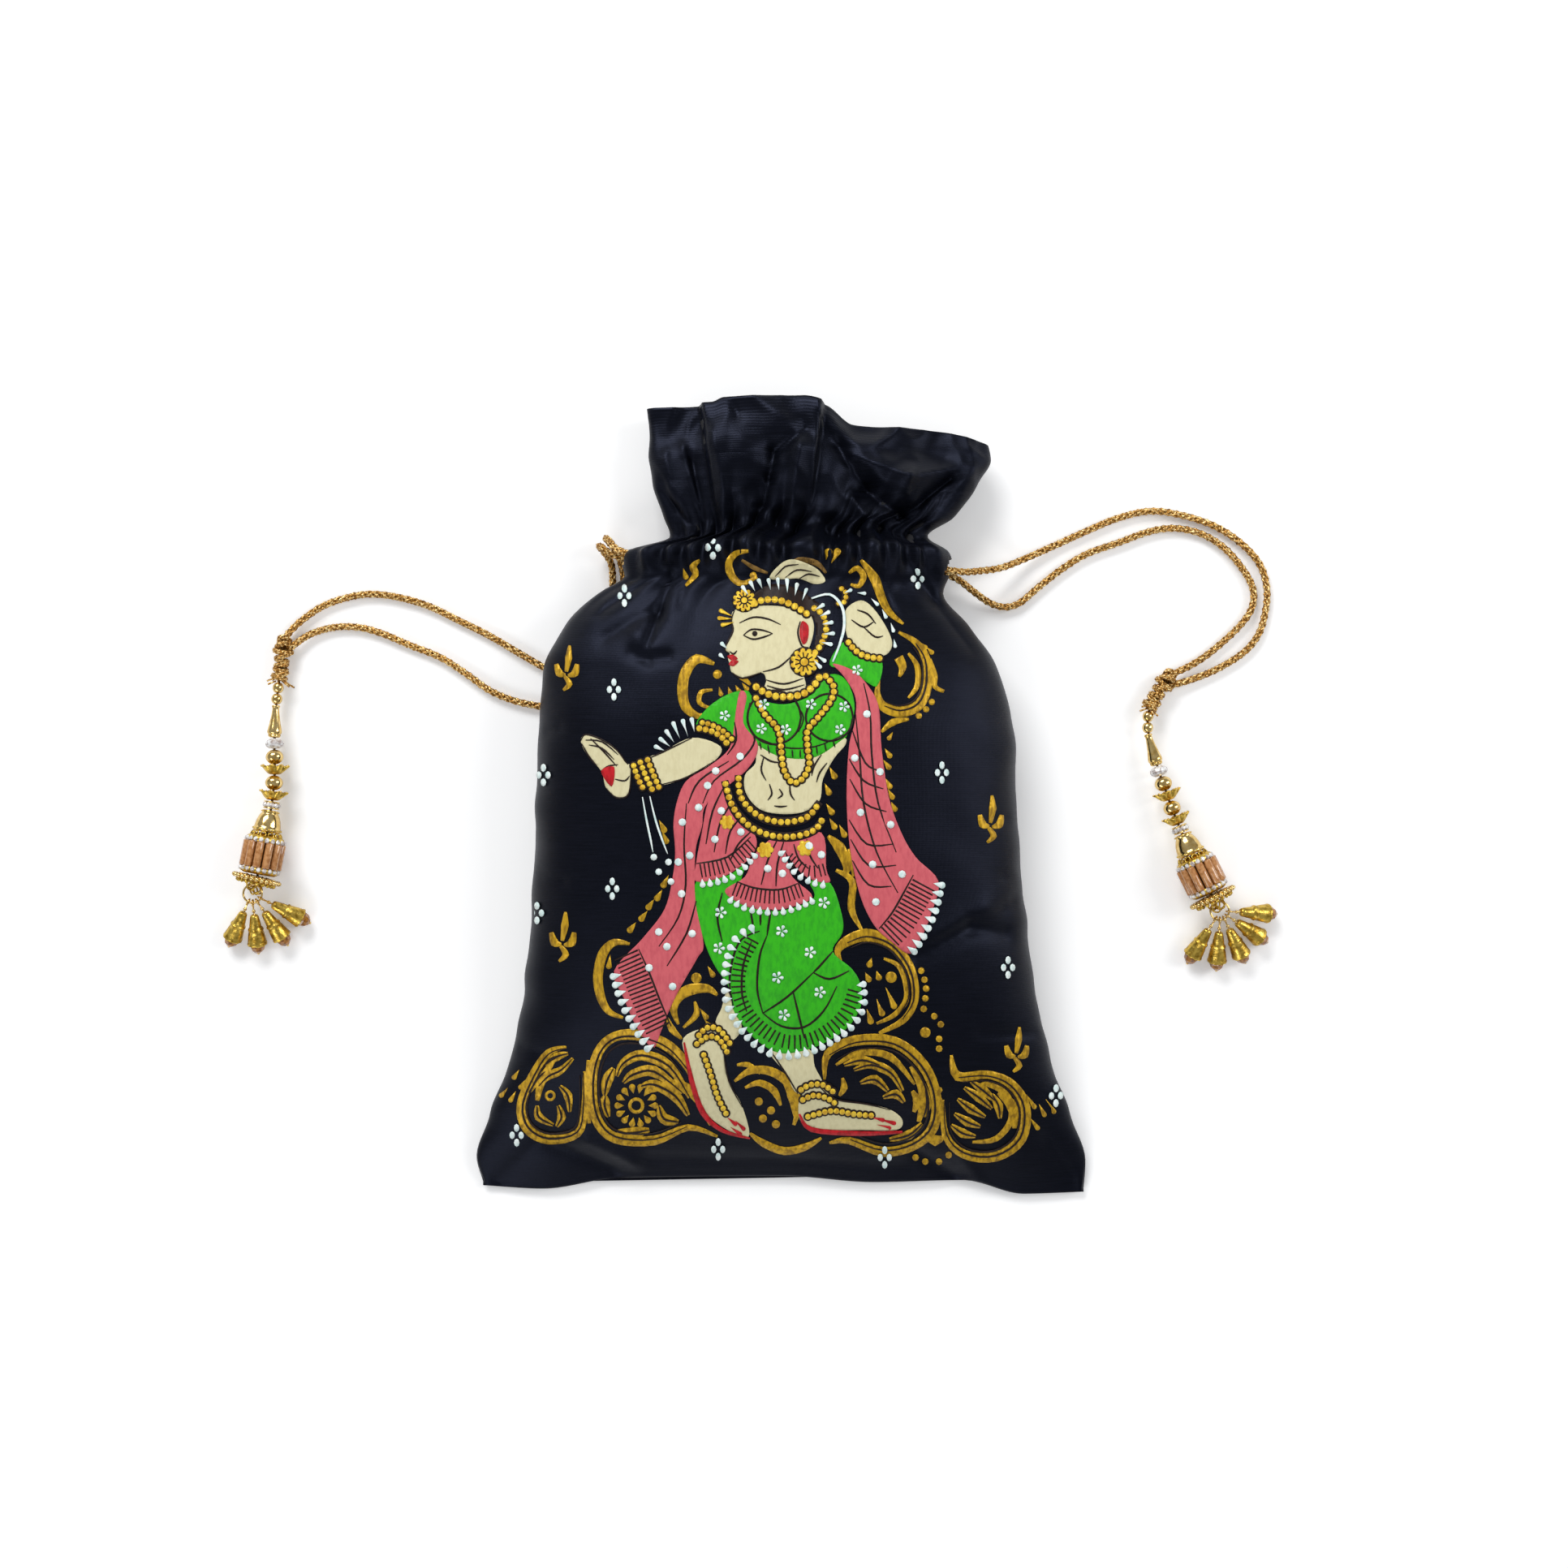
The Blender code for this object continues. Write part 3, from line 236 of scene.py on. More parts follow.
# Folds of the cloth. Each crease is a line in photograph pixels: two ends, half its width in millimetres,
# and its height in millimetres, below zero for a furrow.
CREASES = (
    # the centre fold of the ruffle
    (992, 538, 953, 562, 2.4, -2.6), (953, 562, 947, 590, 2.2, -2.8), (947, 590, 940, 628, 2.0, -2.4),
    (905, 516, 909, 524, 1.3, -1.0), (878, 540, 896, 630, 2.6, 1.2), (985, 560, 972, 640, 2.4, 1.3),
    # the left flap
    (838, 552, 856, 620, 2.0, 1.6), (812, 604, 848, 646, 1.2, -1.4), (818, 560, 824, 600, 2.2, 1.0),
    (850, 570, 866, 640, 1.6, -1.8),
    # the right flap
    (1032, 546, 1070, 600, 3.4, -3.4), (1070, 600, 1106, 634, 2.8, -3.6), (1176, 584, 1112, 640, 1.4, -3.2),
    (1112, 640, 1082, 664, 1.2, -1.8), (1052, 556, 1122, 584, 3.4, 2.4), (1122, 584, 1175, 572, 3.0, 2.2),
    (1112, 628, 1124, 590, 4.0, 1.3), (1196, 580, 1150, 640, 3.0, 1.2), (1040, 640, 1052, 612, 1.6, 1.8),
    (1052, 612, 1074, 652, 1.5, 1.4), (1140, 652, 1116, 676, 1.2, -1.4),
    # the left shoulder
    (828, 704, 811, 756, 1.7, -2.2), (811, 756, 797, 794, 1.5, -1.8), (777, 805, 798, 812, 1.3, -1.5),
    (798, 812, 824, 809, 1.3, -1.5), (806, 750, 744, 786, 2.0, -1.1), (786, 722, 742, 752, 1.8, -1.4),
    (768, 712, 730, 738, 1.6, -1.2), (846, 700, 838, 742, 2.0, -1.2), (782, 780, 800, 796, 2.6, 1.0),
    # the right shoulder
    (1118, 690, 1152, 738, 1.7, -1.7), (1084, 706, 1100, 752, 1.8, -1.3), (1140, 700, 1176, 736, 1.6, -1.3),
    (1152, 742, 1196, 800, 2.4, -0.9),
    (1128, 1180, 1196, 1142, 2.4, -1.8), (1196, 1142, 1238, 1150, 2.0, -1.4), (1150, 1152, 1214, 1118, 3.0, 1.3),
    (1236, 1120, 1262, 1100, 1.8, -1.0),
    # the sides and the bottom
    (1208, 1274, 1290, 1272, 0.9, -0.9), (664, 905, 690, 898, 1.3, -0.8), (662, 1080, 694, 1086, 1.3, -0.8),
    (1252, 1002, 1226, 1012, 1.3, -0.7), (1262, 1084, 1236, 1080, 1.3, -0.7), (668, 1300, 640, 1292, 1.5, -0.8),
    (676, 1402, 758, 1443, 2.6, -1.8), (722, 1404, 784, 1437, 2.0, 1.2), (1128, 1418, 1176, 1450, 2.4, -1.6),
    (1176, 1414, 1206, 1452, 2.2, 1.0), (1290, 1398, 1330, 1452, 2.4, -0.9), (612, 1452, 660, 1404, 2.4, -0.8),
    (800, 1430, 1120, 1436, 2.2, -0.8),
)
# Furrows of the gathers at the neck, in photograph pixels across, with how far each runs into the body.
GATHERS = (
    (836, 13.0), (860, 9.0), (880, 16.0), (901, 10.0), (930, 18.0), (956, 8.0), (981, 15.0),
    (1019, 17.0), (1034, 8.0), (1056, 12.0), (1084, 10.0), (1104, 16.0), (1122, 10.0),
)
CREASE_CRISPNESS = 1.15
CASING = 67.4
STRING_REACH = 4.2                 # beside the casing's middle the strings keep the furrows shallow
STRING_ROOM = 0.5
GATHER_DEPTH = 3.4
GATHER_WIDTH = 1.5
GATHER_RISE = 20.0                 # how far a gather runs up into the ruffle
GATHER_SPREAD = 12.0               # a gather is twice as wide this far from the neck
BACK_GATHERS = 13
BACK_GATHER_DEPTH = 1.6
BACK_GATHER_REACH = 7.0
LOBE_PLACE = 70.5                  # the cloth of the casing puffs out between the gathers here
LOBE_REACH = 4.6
LOBE_HEIGHT = 3.8
LOBE_SIDE = 3.2                    # it is full this far from a gather
CENTRE_FOLD = (864, 1013)          # the ruffle's centre fold stands proud between these pixels across
CENTRE_FOLD_TOP = 516              # at this pixel down, and its two sides run together below
CENTRE_FOLD_SLANT = 0.13
CENTRE_FOLD_HEIGHT = 6.5
CENTRE_FOLD_WALL = 1.3
RUFFLE_START = 77.0
RUFFLE_REACH = 26.0
PUCKER_STEP = 8.0                  # along the side seams
PUCKER_HEIGHT = 0.7
PUCKER_REACH = 5.0
CRUMPLE_SIZES = ((26.0, 0.6), (9.0, 0.18))
CRISP_SIZES = ((19.0, 4.2), (8.0, 1.3))      # sharp facets, in the ruffle
CASING_PUFF = 1.4
CASING_PUFF_REACH = 4.5
SEAM_CALM = 6.0                    # folds die out this far from the side seams
CREASE_CALM = 4.0
SEAM_SHARE = 0.2                   # what is left of them at the seam
BACK_CRUMPLE = 0.5
CRUMPLE_START = 10.0
CRISP_START = 12.0
NECK_LINE = (                      # how far the puffed cloth at the neck reaches up, in millimetres
    (-1.0, 0.0), (-0.72, 0.6), (-0.5, 2.0), (-0.26, 4.2), (-0.06, 1.0), (0.14, 2.8), (0.28, 0.0),
    (0.42, 1.1), (0.6, 2.6), (0.78, 0.4), (1.0, 0.0),
)
NECK_LINE_REACH = 6.0
NECK_SHIFT = smooth_through(NECK_LINE)


def srgb(code):
    """A linear colour from an sRGB hex value."""
    parts = [int(code[i:i + 2], 16) / 255 for i in (1, 3, 5)]
    return tuple(c / 12.92 if c <= 0.04045 else ((c + 0.055) / 1.055) ** 2.4 for c in parts) + (1.0,)


def to_pixel(point):
    """Where the photograph shows a point, in its pixels."""
    shrink = VIEW.z / (VIEW.z - point.z) / PHOTO_STEP
    return (PHOTO_SIZE / 2 + (point.x - VIEW.x) * shrink, PHOTO_SIZE / 2 - (point.y - VIEW.y) * shrink)


def through_pixel(u, v):
    """The direction from the camera through a pixel of the photograph."""
    across = (u - PHOTO_SIZE / 2) * PHOTO_STEP
    along = (PHOTO_SIZE / 2 - v) * PHOTO_STEP
    return Vector((across, along, -VIEW.z)).normalized()


def step_up(t):
    t = min(max(t, 0.0), 1.0)
    return t * t * (3 - 2 * t)


def fade(distance, reach):
    return math.exp(-(distance / reach) ** 2)


def lengths_along(points):
    """How far each point lies along a line of points."""
    run = [0.0]
    for before, after in zip(points, points[1:]):
        run.append(run[-1] + (after - before).length)
    return run


def mesh_from(name, bm):
    mesh = bpy.data.meshes.new(name)
    bm.to_mesh(mesh)
    bm.free()
    return mesh


def add_object(name, data):
    made = bpy.data.objects.new(name, data)
    bpy.context.scene.collection.objects.link(made)
    return made


def stand_in(piece, node, body="root"):
    """The piece takes a node's place in the frame and moves with its body."""
    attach(piece, body)
    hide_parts(node)
    return piece


def thicken(piece, name, thickness):
    """A solid wall below the faces."""
    wall = piece.modifiers.new(name, "SOLIDIFY")
    wall.thickness = thickness
    wall.offset = -1.0


def section_point(place, angle, inset):
    """A point of the cloth's section in millimetres. Angle 0 is the right edge, pi the left."""
    left = LEFT_EDGE(place) + inset
    right = RIGHT_EDGE(place) - inset
    top = TOP_HEIGHT(place) - inset
    edge = EDGE_HEIGHT(place)
    power = 2.0 / SECTION_POWER
    cosine = math.cos(angle)
    sine = math.sin(angle)
    across = math.copysign(abs(cosine) ** power, cosine)
    x = (left + right) / 2 + (right - left) / 2 * across
    if sine >= 0:
        z = edge + (top - edge) * sine ** power
    else:
        z = edge - (edge - inset) * min(1.0, -sine / UNDERSIDE_FLAT) ** UNDERSIDE_CURVE
    return Vector((x, place, z)), across


def row_points(place, inset, columns):
    """Points evenly spaced along the front of a section, then along its back."""
    found = []
    for start, count in zip((0.0, math.pi), columns):
        samples = 2 * count
        turn = [start + math.pi * i / samples for i in range(samples + 1)]
        run = lengths_along([section_point(place, angle, inset)[0] for angle in turn])
        i = 0
        for column in range(count):
            target = run[-1] * column / count
            while run[i + 1] < target:
                i += 1
            angle = turn[i] + (target - run[i]) / (run[i + 1] - run[i]) * (turn[i + 1] - turn[i])
            found.append(section_point(place, angle, inset))
    return found


def neck_share(u):
    """A pixel's place across the neck, from -1 at its left edge to 1 at its right."""
    x = ((u - PHOTO_SIZE / 2) * PHOTO_STEP + VIEW.x) / MM * (1 - TOP_HEIGHT(NECK) * MM / VIEW.z)
    middle = (LEFT_EDGE(NECK) + RIGHT_EDGE(NECK)) / 2
    return (x - middle) / (RIGHT_EDGE(NECK) - LEFT_EDGE(NECK)) * 2


GATHER_SHARES = [(neck_share(u), reach) for u, reach in GATHERS]


def gather_height(place, across, half_width, front):
    """How far the gathers lift or sink the cloth, in millimetres."""
    above = place - NECK
    lobe = LOBE_HEIGHT * fade(place - LOBE_PLACE, LOBE_REACH)
    if not front:
        wave = 0.5 - 0.5 * math.cos(math.pi * BACK_GATHERS * (across + 1))
        return (0.5 * lobe + BACK_GATHER_DEPTH * fade(above, BACK_GATHER_REACH)) * wave
    height = 0.0
    nearest = 1.0
    for share, reach in GATHER_SHARES:
        away = (across - share) * half_width
        run = GATHER_RISE if above > 0 else reach
        width = GATHER_WIDTH * (1 + abs(above) / GATHER_SPREAD)
        deep = math.exp(-abs(above / run) ** 1.4)
        height -= GATHER_DEPTH * deep * math.exp(-abs(away / width) ** 1.6)
        nearest = min(nearest, abs(away) / LOBE_SIDE)
    beside = max(0.0, abs(place - CASING) - STRING_REACH)
    return max(height, -STRING_ROOM - beside) + lobe * step_up(nearest)


def crease_height(u, v):
    """What the single creases of the front add at a pixel, in millimetres."""
    height = 0.0
    for u0, v0, u1, v1, width, rise in CREASES:
        du, dv = u1 - u0, v1 - v0
        t = min(max(((u - u0) * du + (v - v0) * dv) / (du * du + dv * dv), 0.0), 1.0)
        away = math.hypot(u - u0 - t * du, v - v0 - t * dv) * PHOTO_STEP / MM
        if away < 4 * width:
            height += rise * math.exp(-(away / width) ** CREASE_CRISPNESS)
    return height


def ruffle_height(place, u, v):
    """The ruffle's centre fold stands proud of its two flaps."""
    opened = step_up((place - RUFFLE_START) / RUFFLE_REACH)
    wall = CENTRE_FOLD_WALL / (PHOTO_STEP / MM)
    slant = (v - CENTRE_FOLD_TOP) * CENTRE_FOLD_SLANT
    from_left = step_up((u - CENTRE_FOLD[0] - slant) / wall + 0.5)
    from_right = step_up((CENTRE_FOLD[1] - slant - u) / wall + 0.5)
    return CENTRE_FOLD_HEIGHT * opened * (from_left * from_right)


def crumple(point):
    """The small irregular waves of crisp silk."""
    return sum(height * noise.noise(point / size) for size, height in CRUMPLE_SIZES)


def crisp_facets(point):
    """Flat facets that meet in sharp valleys, as starched silk folds."""
    return sum(height * (0.2 - abs(noise.noise(point / size + Vector((3.1, 1.7, 0.4)))))
               for size, height in CRISP_SIZES)


def folded_point(point, across, outward, front, lowest):
    """The point where the gathers, creases and seams leave a point of the plain section, in millimetres."""
    place = point.y
    half_width = (RIGHT_EDGE(place) - LEFT_EDGE(place)) / 2
    from_seam = (1 - abs(across)) * half_width
    calm = SEAM_SHARE + (1 - SEAM_SHARE) * step_up(from_seam / SEAM_CALM)
    rise = gather_height(place, across, half_width, front) * calm
    rise += crumple(point) * (1.0 if front else BACK_CRUMPLE) * step_up((place - FIRST_ROW) / CRUMPLE_START)
    rise += crisp_facets(point) * step_up((place - RUFFLE_START) / CRISP_START) * calm
    rise += CASING_PUFF * fade(place - CASING, CASING_PUFF_REACH)
    pucker = noise.noise(Vector((math.copysign(4.0, across), place / PUCKER_STEP, 0.5)))
    rise += PUCKER_HEIGHT * pucker * fade(from_seam, PUCKER_REACH)
    made = point + outward * rise
    if front:
        u, v = to_pixel(point * MM)
        made.z += (crease_height(u, v) + ruffle_height(place, u, v)) * step_up(from_seam / CREASE_CALM)
    made.z = max(made.z, lowest)
    bottom = max(0.0, 1 - (place - FIRST_ROW) / BOTTOM_REACH) ** 2
    mouth = max(0.0, 1 - (LAST_ROW - place) / MOUTH_REACH) ** 2
    made.y += BOTTOM_SHIFT(across) * bottom + MOUTH_SHIFT(across) * mouth
    if front:
        made.y += NECK_SHIFT(across) * fade(place - NECK, NECK_LINE_REACH)
    return made


def cloth_row(place, inset, columns):
    """One row of the folded cloth, in millimetres, from the right edge over the front and back."""
    points = row_points(place, inset, columns)
    row = []
    for i, (point, across) in enumerate(points):
        along = points[(i + 1) % len(points)][0] - points[i - 1][0]
        outward = Vector((along.z, 0.0, -along.x)).normalized()
        row.append(folded_point(point, across, outward, i < columns[0], inset))
    return row


def cloth_places():
    """Rows along Y: closer together where the cloth is gathered, and in the ruffle."""
    place = FIRST_ROW
    places = []
    while place < LAST_ROW - 0.3:
        places.append(place)
        gathered = fade(place - NECK, 14.0)
        in_ruffle = step_up((place - 60.0) / 20.0) * (1 - gathered)
        place += ROW_STEP - GATHERED_STEP_CUT * gathered - RUFFLE_STEP_CUT * in_ruffle
    return places + [LAST_ROW]


def bottom_rows(row):
    """Rows that round the first row down to the bottom seam."""
    rows = []
    for reach, height in SEAM_ROUNDING:
        lowered = []
        for point in row:
            low = Vector((point.x, point.y - reach, EDGE_HEIGHT(FIRST_ROW)))
            lowered.append(low + (point - low).project(Vector((0.0, 0.0, 1.0))) * height)
        rows.append(lowered)
    return rows


def cloth_tube(rows, columns, slits):
    """A grid bent through closed rows and sewn along the right side and the bottom. UV is in metres."""
    bm = bmesh.new()
    count = sum(columns)
    bmesh.ops.create_grid(bm, x_segments=count, y_segments=len(rows) - 1, size=1.0)
    bm.verts.ensure_lookup_table()
    runs = []
    for level, row in enumerate(rows):
        run = lengths_along(row + row[:1])
        middle = run[columns[0] // 2]
        runs.append([reach - middle for reach in run])
        for column in range(count + 1):
            bm.verts[level * (count + 1) + column].co = row[column % count] * MM
    uv = bm.loops.layers.uv.new("cloth")
    for face in bm.faces:
        for loop in face.loops:
            level, column = divmod(loop.vert.index, count + 1)
            loop[uv].uv = (-runs[level][column] * MM, rows[level][0].y * MM)
    opened = []
    for low, high, seam in slits:
        for face in bm.faces:
            level, column = divmod(min(vert.index for vert in face.verts), count + 1)
            from_seam = min(abs(runs[level][column] - runs[level][end]) for end in seam)
            if low <= rows[level][columns[0] // 2].y < high and from_seam < SLIT_HALF_HEIGHT:
                opened.append(face)
    bmesh.ops.delete(bm, geom=opened, context="FACES")
    bmesh.ops.remove_doubles(bm, verts=bm.verts, dist=0.001 * MM)
    bmesh.ops.reverse_faces(bm, faces=bm.faces)
    seam_edges = [edge for edge in bm.edges if edge.is_boundary
                  and max(vert.co.y for vert in edge.verts) < (FIRST_ROW + 6.0) * MM]
    bmesh.ops.contextual_create(bm, geom=seam_edges)
    bmesh.ops.triangulate(bm, faces=[face for face in bm.faces if len(face.verts) > 4])
    return bm


def new_finish(name, colour, roughness, metallic=0.0, **sockets):
    """A material with one Principled shader."""
    material = bpy.data.materials.new(name)
    material.use_nodes = True
    shader = material.node_tree.nodes["Principled BSDF"]
    shader.inputs["Base Color"].default_value = srgb(colour)
    shader.inputs["Roughness"].default_value = roughness
    shader.inputs["Metallic"].default_value = metallic
    for socket, value in sockets.items():
        shader.inputs[socket.replace("_", " ")].default_value = value
    return material


def add_node(material, kind, settings=None, **inputs):
    """Adds a shader node. An input is a value, or the output socket that feeds it."""
    node = material.node_tree.nodes.new("ShaderNode" + kind)
    for name, value in (settings or {}).items():
        setattr(node, name, value)
    for name, value in inputs.items():
        socket = node.inputs[name.replace("_", " ")]
        if isinstance(value, bpy.types.NodeSocket):
            material.node_tree.links.new(value, socket)
        else:
            socket.default_value = value
    return node


def mixed(material, kind, settings, first, second, sockets=(0, 1), output=0, **inputs):
    """The result of two values meeting in a node, at the sockets of these numbers."""
    node = add_node(material, kind, settings, **inputs)
    material.node_tree.links.new(first, node.inputs[sockets[0]])
    material.node_tree.links.new(second, node.inputs[sockets[1]])
    return node.outputs[output]


def feed(material, name, socket):
    material.node_tree.links.new(socket, material.node_tree.nodes["Principled BSDF"].inputs[name])


def places(material, kind="Object", scale=(1.0, 1.0, 1.0)):
    """Texture coordinates in metres, stretched by scale."""
    source = add_node(material, "TexCoord").outputs[kind]
    return add_node(material, "Mapping", Vector=source, Scale=scale).outputs["Vector"]


def noise_at(material, vector, size, detail=2.0, roughness=0.5):
    """A noise of about this size in metres, from 0 to 1."""
    return add_node(
        material, "TexNoise", Vector=vector, Scale=1 / size, Detail=detail, Roughness=roughness,
    ).outputs["Fac"]


def tones(material, factor, stops):
    """A colour ramp of (place, sRGB hex) stops."""
    ramp = add_node(material, "ValToRGB", Fac=factor)
    marks = ramp.color_ramp.elements
    while len(marks) < len(stops):
        marks.new(0.5)
    for mark, (place, colour) in zip(marks, stops):
        mark.position = place
        mark.color = srgb(colour)
    return ramp.outputs["Color"]


def ranged(material, factor, low, high):
    """A 0 to 1 value spread between two others."""
    return add_node(material, "MapRange", Value=factor, To_Min=low, To_Max=high).outputs["Result"]


def raised(material, height, depth):
    """Bump of this depth in metres from a height between 0 and 1."""
    bump = add_node(material, "Bump", Height=height, Distance=depth, Strength=1.0)
    feed(material, "Normal", bump.outputs["Normal"])


def threads(material, vector, pitch, direction):
    """Parallel threads at this pitch in metres, slightly uneven."""
    return add_node(
        material, "TexWave", {"wave_type": "BANDS", "bands_direction": direction},
        Vector=vector, Scale=math.pi / 10 / pitch, Distortion=0.6, Detail=1.0, Detail_Scale=0.4,
    ).outputs["Fac"]


def weave(material, warp_pitch, weft_pitch):
    """Warp crossing weft, at these pitches in metres."""
    cloth = places(material, "UV")
    warp = threads(material, cloth, warp_pitch, "X")
    weft = threads(material, cloth, weft_pitch, "Y")
    return mixed(material, "Math", {"operation": "MULTIPLY"}, warp, weft)


def silk_finish():
    """Black silk with a navy sheen: fine warp and weft, and the thicker slub threads across."""
    silk = new_finish(
        "silk_taffeta", "#08090e", 0.36, Sheen_Weight=0.05, Sheen_Roughness=0.3,
        Sheen_Tint=srgb("#4a5a96"), Specular_IOR_Level=0.22, Specular_Tint=srgb("#b4bfea"),
    )
    crossing = weave(silk, 0.30 * MM, 0.36 * MM)
    slubs = noise_at(silk, places(silk, "UV", (0.05, 1.0, 1.0)), 0.5 * MM, 2.0, 0.6)
    cloudy = noise_at(silk, places(silk, "UV"), 22 * MM, 3.0)
    height = mixed(silk, "Mix", {"data_type": "FLOAT"}, crossing, slubs, (2, 3), Factor=0.45)
    raised(silk, height, 0.05 * MM)
    threaded = tones(silk, slubs, ((0.3, "#050609"), (0.7, "#0b0c13")))
    lit = tones(silk, cloudy, ((0.3, "#6a6f7c"), (0.7, "#9aa0b0")))
    colour = mixed(
        silk, "Mix", {"data_type": "RGBA", "blend_type": "SOFT_LIGHT"}, threaded, lit, (6, 7), 2, Factor=0.35,
    )
    feed(silk, "Base Color", colour)
    feed(silk, "Roughness", ranged(silk, slubs, 0.3, 0.42))
    return silk


def paint_finish(name, colour, streak, roughness=0.5, metallic=0.0):
    """Fabric paint brushed on: streaks of a second tone along the brush, and a thin uneven coat."""
    paint = new_finish(name, colour, roughness, metallic, Specular_IOR_Level=0.25)
    brushed = noise_at(paint, places(paint, "Object", (1.0, 0.35, 1.0)), 1.1 * MM, 3.0, 0.6)
    feed(paint, "Base Color", tones(paint, brushed, ((0.36, streak), (0.58, colour))))
    feed(paint, "Roughness", ranged(paint, brushed, roughness + 0.1, roughness - 0.08))
    raised(paint, brushed, 0.03 * MM)
    return paint


def gold_finish(name, colour, shade, roughness, grain, depth):
    """Plated metal: a darker tone in its hollows, fine wear in its gloss, and hammered grain."""
    gold = new_finish(name, colour, roughness, 1.0)
    vector = places(gold)
    worn = noise_at(gold, vector, 1.4 * MM, 3.0)
    cells = add_node(gold, "TexVoronoi", Vector=vector, Scale=1 / grain)
    feed(gold, "Base Color", tones(gold, worn, ((0.3, shade), (0.62, colour))))
    feed(gold, "Roughness", ranged(gold, worn, roughness * 1.35, roughness * 0.8))
    raised(gold, cells.outputs["Distance"], depth)
    return gold


def glass_finish(name, colour, tint, transmission, roughness):
    """Cut glass with a coloured flash that varies from facet to facet."""
    glass = new_finish(
        name, colour, roughness, Transmission_Weight=transmission, IOR=1.55, Coat_Weight=0.6,
        Coat_Roughness=0.05,
    )
    flash = noise_at(glass, places(glass), 0.9 * MM, 1.0)
    feed(glass, "Base Color", tones(glass, flash, ((0.35, tint), (0.62, colour))))
    return glass


def zari_finish():
    """Gold metal thread: flat wire wound round each strand, with painted highlights in pale gold standing for the
    bright edges of the wire, and painted shade in brown between.
    """
    zari = new_finish("zari_braid", "#d69c46", 0.32, 0.75)
    vector = places(zari)
    wire_relief_and_painted_light = noise_at(zari, vector, 0.7 * MM, 3.0, 0.75)
    # painted shade in dark brown, gold between, and painted glints in pale gold, on the same noise that raises the
    # wire's relief
    feed(zari, "Base Color", tones(zari, wire_relief_and_painted_light, ((0.38, "#5f3c14"), (0.5, "#c48b36"), (0.6, "#ffe6a6"))))
    raised(zari, wire_relief_and_painted_light, 0.08 * MM)
    return zari


def cotton_finish():
    """Plain dark lining cotton with a matt open weave."""
    cotton = new_finish("lining_cotton", "#15151a", 0.85)
    crossing = weave(cotton, 0.5 * MM, 0.5 * MM)
    feed(cotton, "Base Color", tones(cotton, crossing, ((0.1, "#0d0d11"), (0.8, "#212128"))))
    raised(cotton, crossing, 0.08 * MM)
    return cotton


def thread_finish():
    """Twisted brown cotton thread that the beads are strung on."""
    thread = new_finish("stringing_thread", "#8a6428", 0.75)
    twist = noise_at(thread, places(thread), 0.35 * MM, 2.0)
    feed(thread, "Base Color", tones(thread, twist, ((0.35, "#5d4016"), (0.65, "#a57c38"))))
    raised(thread, twist, 0.05 * MM)
    return thread


SILK = silk_finish()
LINING = cotton_finish()
ZARI = zari_finish()
THREAD = thread_finish()
# bright plating that mirrors its surroundings, on the beads and the wires
GOLD = gold_finish("polished_gold", "#f5d793", "#d3ab5c", 0.15, 0.5 * MM, 0.004 * MM)
# duller gold with brown hollows, on what is stamped, hammered or twisted
ANTIQUE = gold_finish("antique_gold", "#efcb5e", "#9c7826", 0.28, 0.42 * MM, 0.05 * MM)
# colourless cut glass with pale warm flashes
CRYSTAL = glass_finish("clear_crystal", "#ffffff", "#b5a59e", 0.12, 0.03)
# the barrel's rods: warm rose glass, hardly clear
ROSE = glass_finish("rose_glass", "#d39a62", "#b5763e", 0.1, 0.08)
# the bells' drops: deeper and clearer amber
AMBER = glass_finish("amber_glass", "#d48f3a", "#8c5216", 0.3, 0.05)
# dark bronze, seen only between the rods
CORE = gold_finish("barrel_core", "#5a3a1c", "#20120a", 0.4, 0.6 * MM, 0.03 * MM)


def smooth_route(points, spacing):
    """Points at an even spacing along a smooth curve through a route's own points."""
    ends = [points[0] * 2 - points[1], *points, points[-1] * 2 - points[-2]]
    fine = []
    for a, b, c, d in zip(ends, ends[1:], ends[2:], ends[3:]):
        for step in range(12):
            t = step / 12
            bend = (b * 2 + (c - a) * t + (a * 2 - b * 5 + c * 4 - d) * t ** 2
                    + (b * 3 - a - c * 3 + d) * t ** 3)
            fine.append(bend * 0.5)
    fine.append(points[-1])
    return even_points(fine, spacing)


def even_points(fine, spacing):
    """Points at an even spacing along a fine line."""
    run = lengths_along(fine)
    count = max(1, round(run[-1] / spacing))
    points = []
    i = 0
    for step in range(count + 1):
        target = run[-1] * step / count
        while i < len(fine) - 2 and run[i + 1] < target:
            i += 1
        share = (target - run[i]) / (run[i + 1] - run[i])
        points.append(fine[i].lerp(fine[i + 1], share))
    return points


def frames_along(points):
    """A frame at each point, +Z along the line, turning as little as it can."""
    frames = []
    side = None
    for i, point in enumerate(points):
        ahead = (points[min(i + 1, len(points) - 1)] - points[max(i - 1, 0)]).normalized()
        if side is None:
            side = ahead.orthogonal()
        side = (side - ahead * side.dot(ahead)).normalized()
        frames.append((point, side, ahead.cross(side)))
    return frames


def strands_mesh(name, lines, radius):
    """A mesh of one round tube along each line, from a curve with a bevel."""
    curve = bpy.data.curves.new(name, "CURVE")
    curve.dimensions = "3D"
    curve.bevel_depth = radius
    curve.bevel_resolution = 1
    curve.use_fill_caps = True
    for line in lines:
        spline = curve.splines.new("POLY")
        spline.points.add(len(line) - 1)
        for place, point in zip(spline.points, line):
            place.co = (*point, 1.0)
    holder = add_object(name, curve)
    graph = bpy.context.evaluated_depsgraph_get()
    mesh = bpy.data.meshes.new_from_object(holder.evaluated_get(graph))
    bpy.data.objects.remove(holder, do_unlink=True)
    bpy.data.curves.remove(curve)
    mesh.name = name
    return mesh


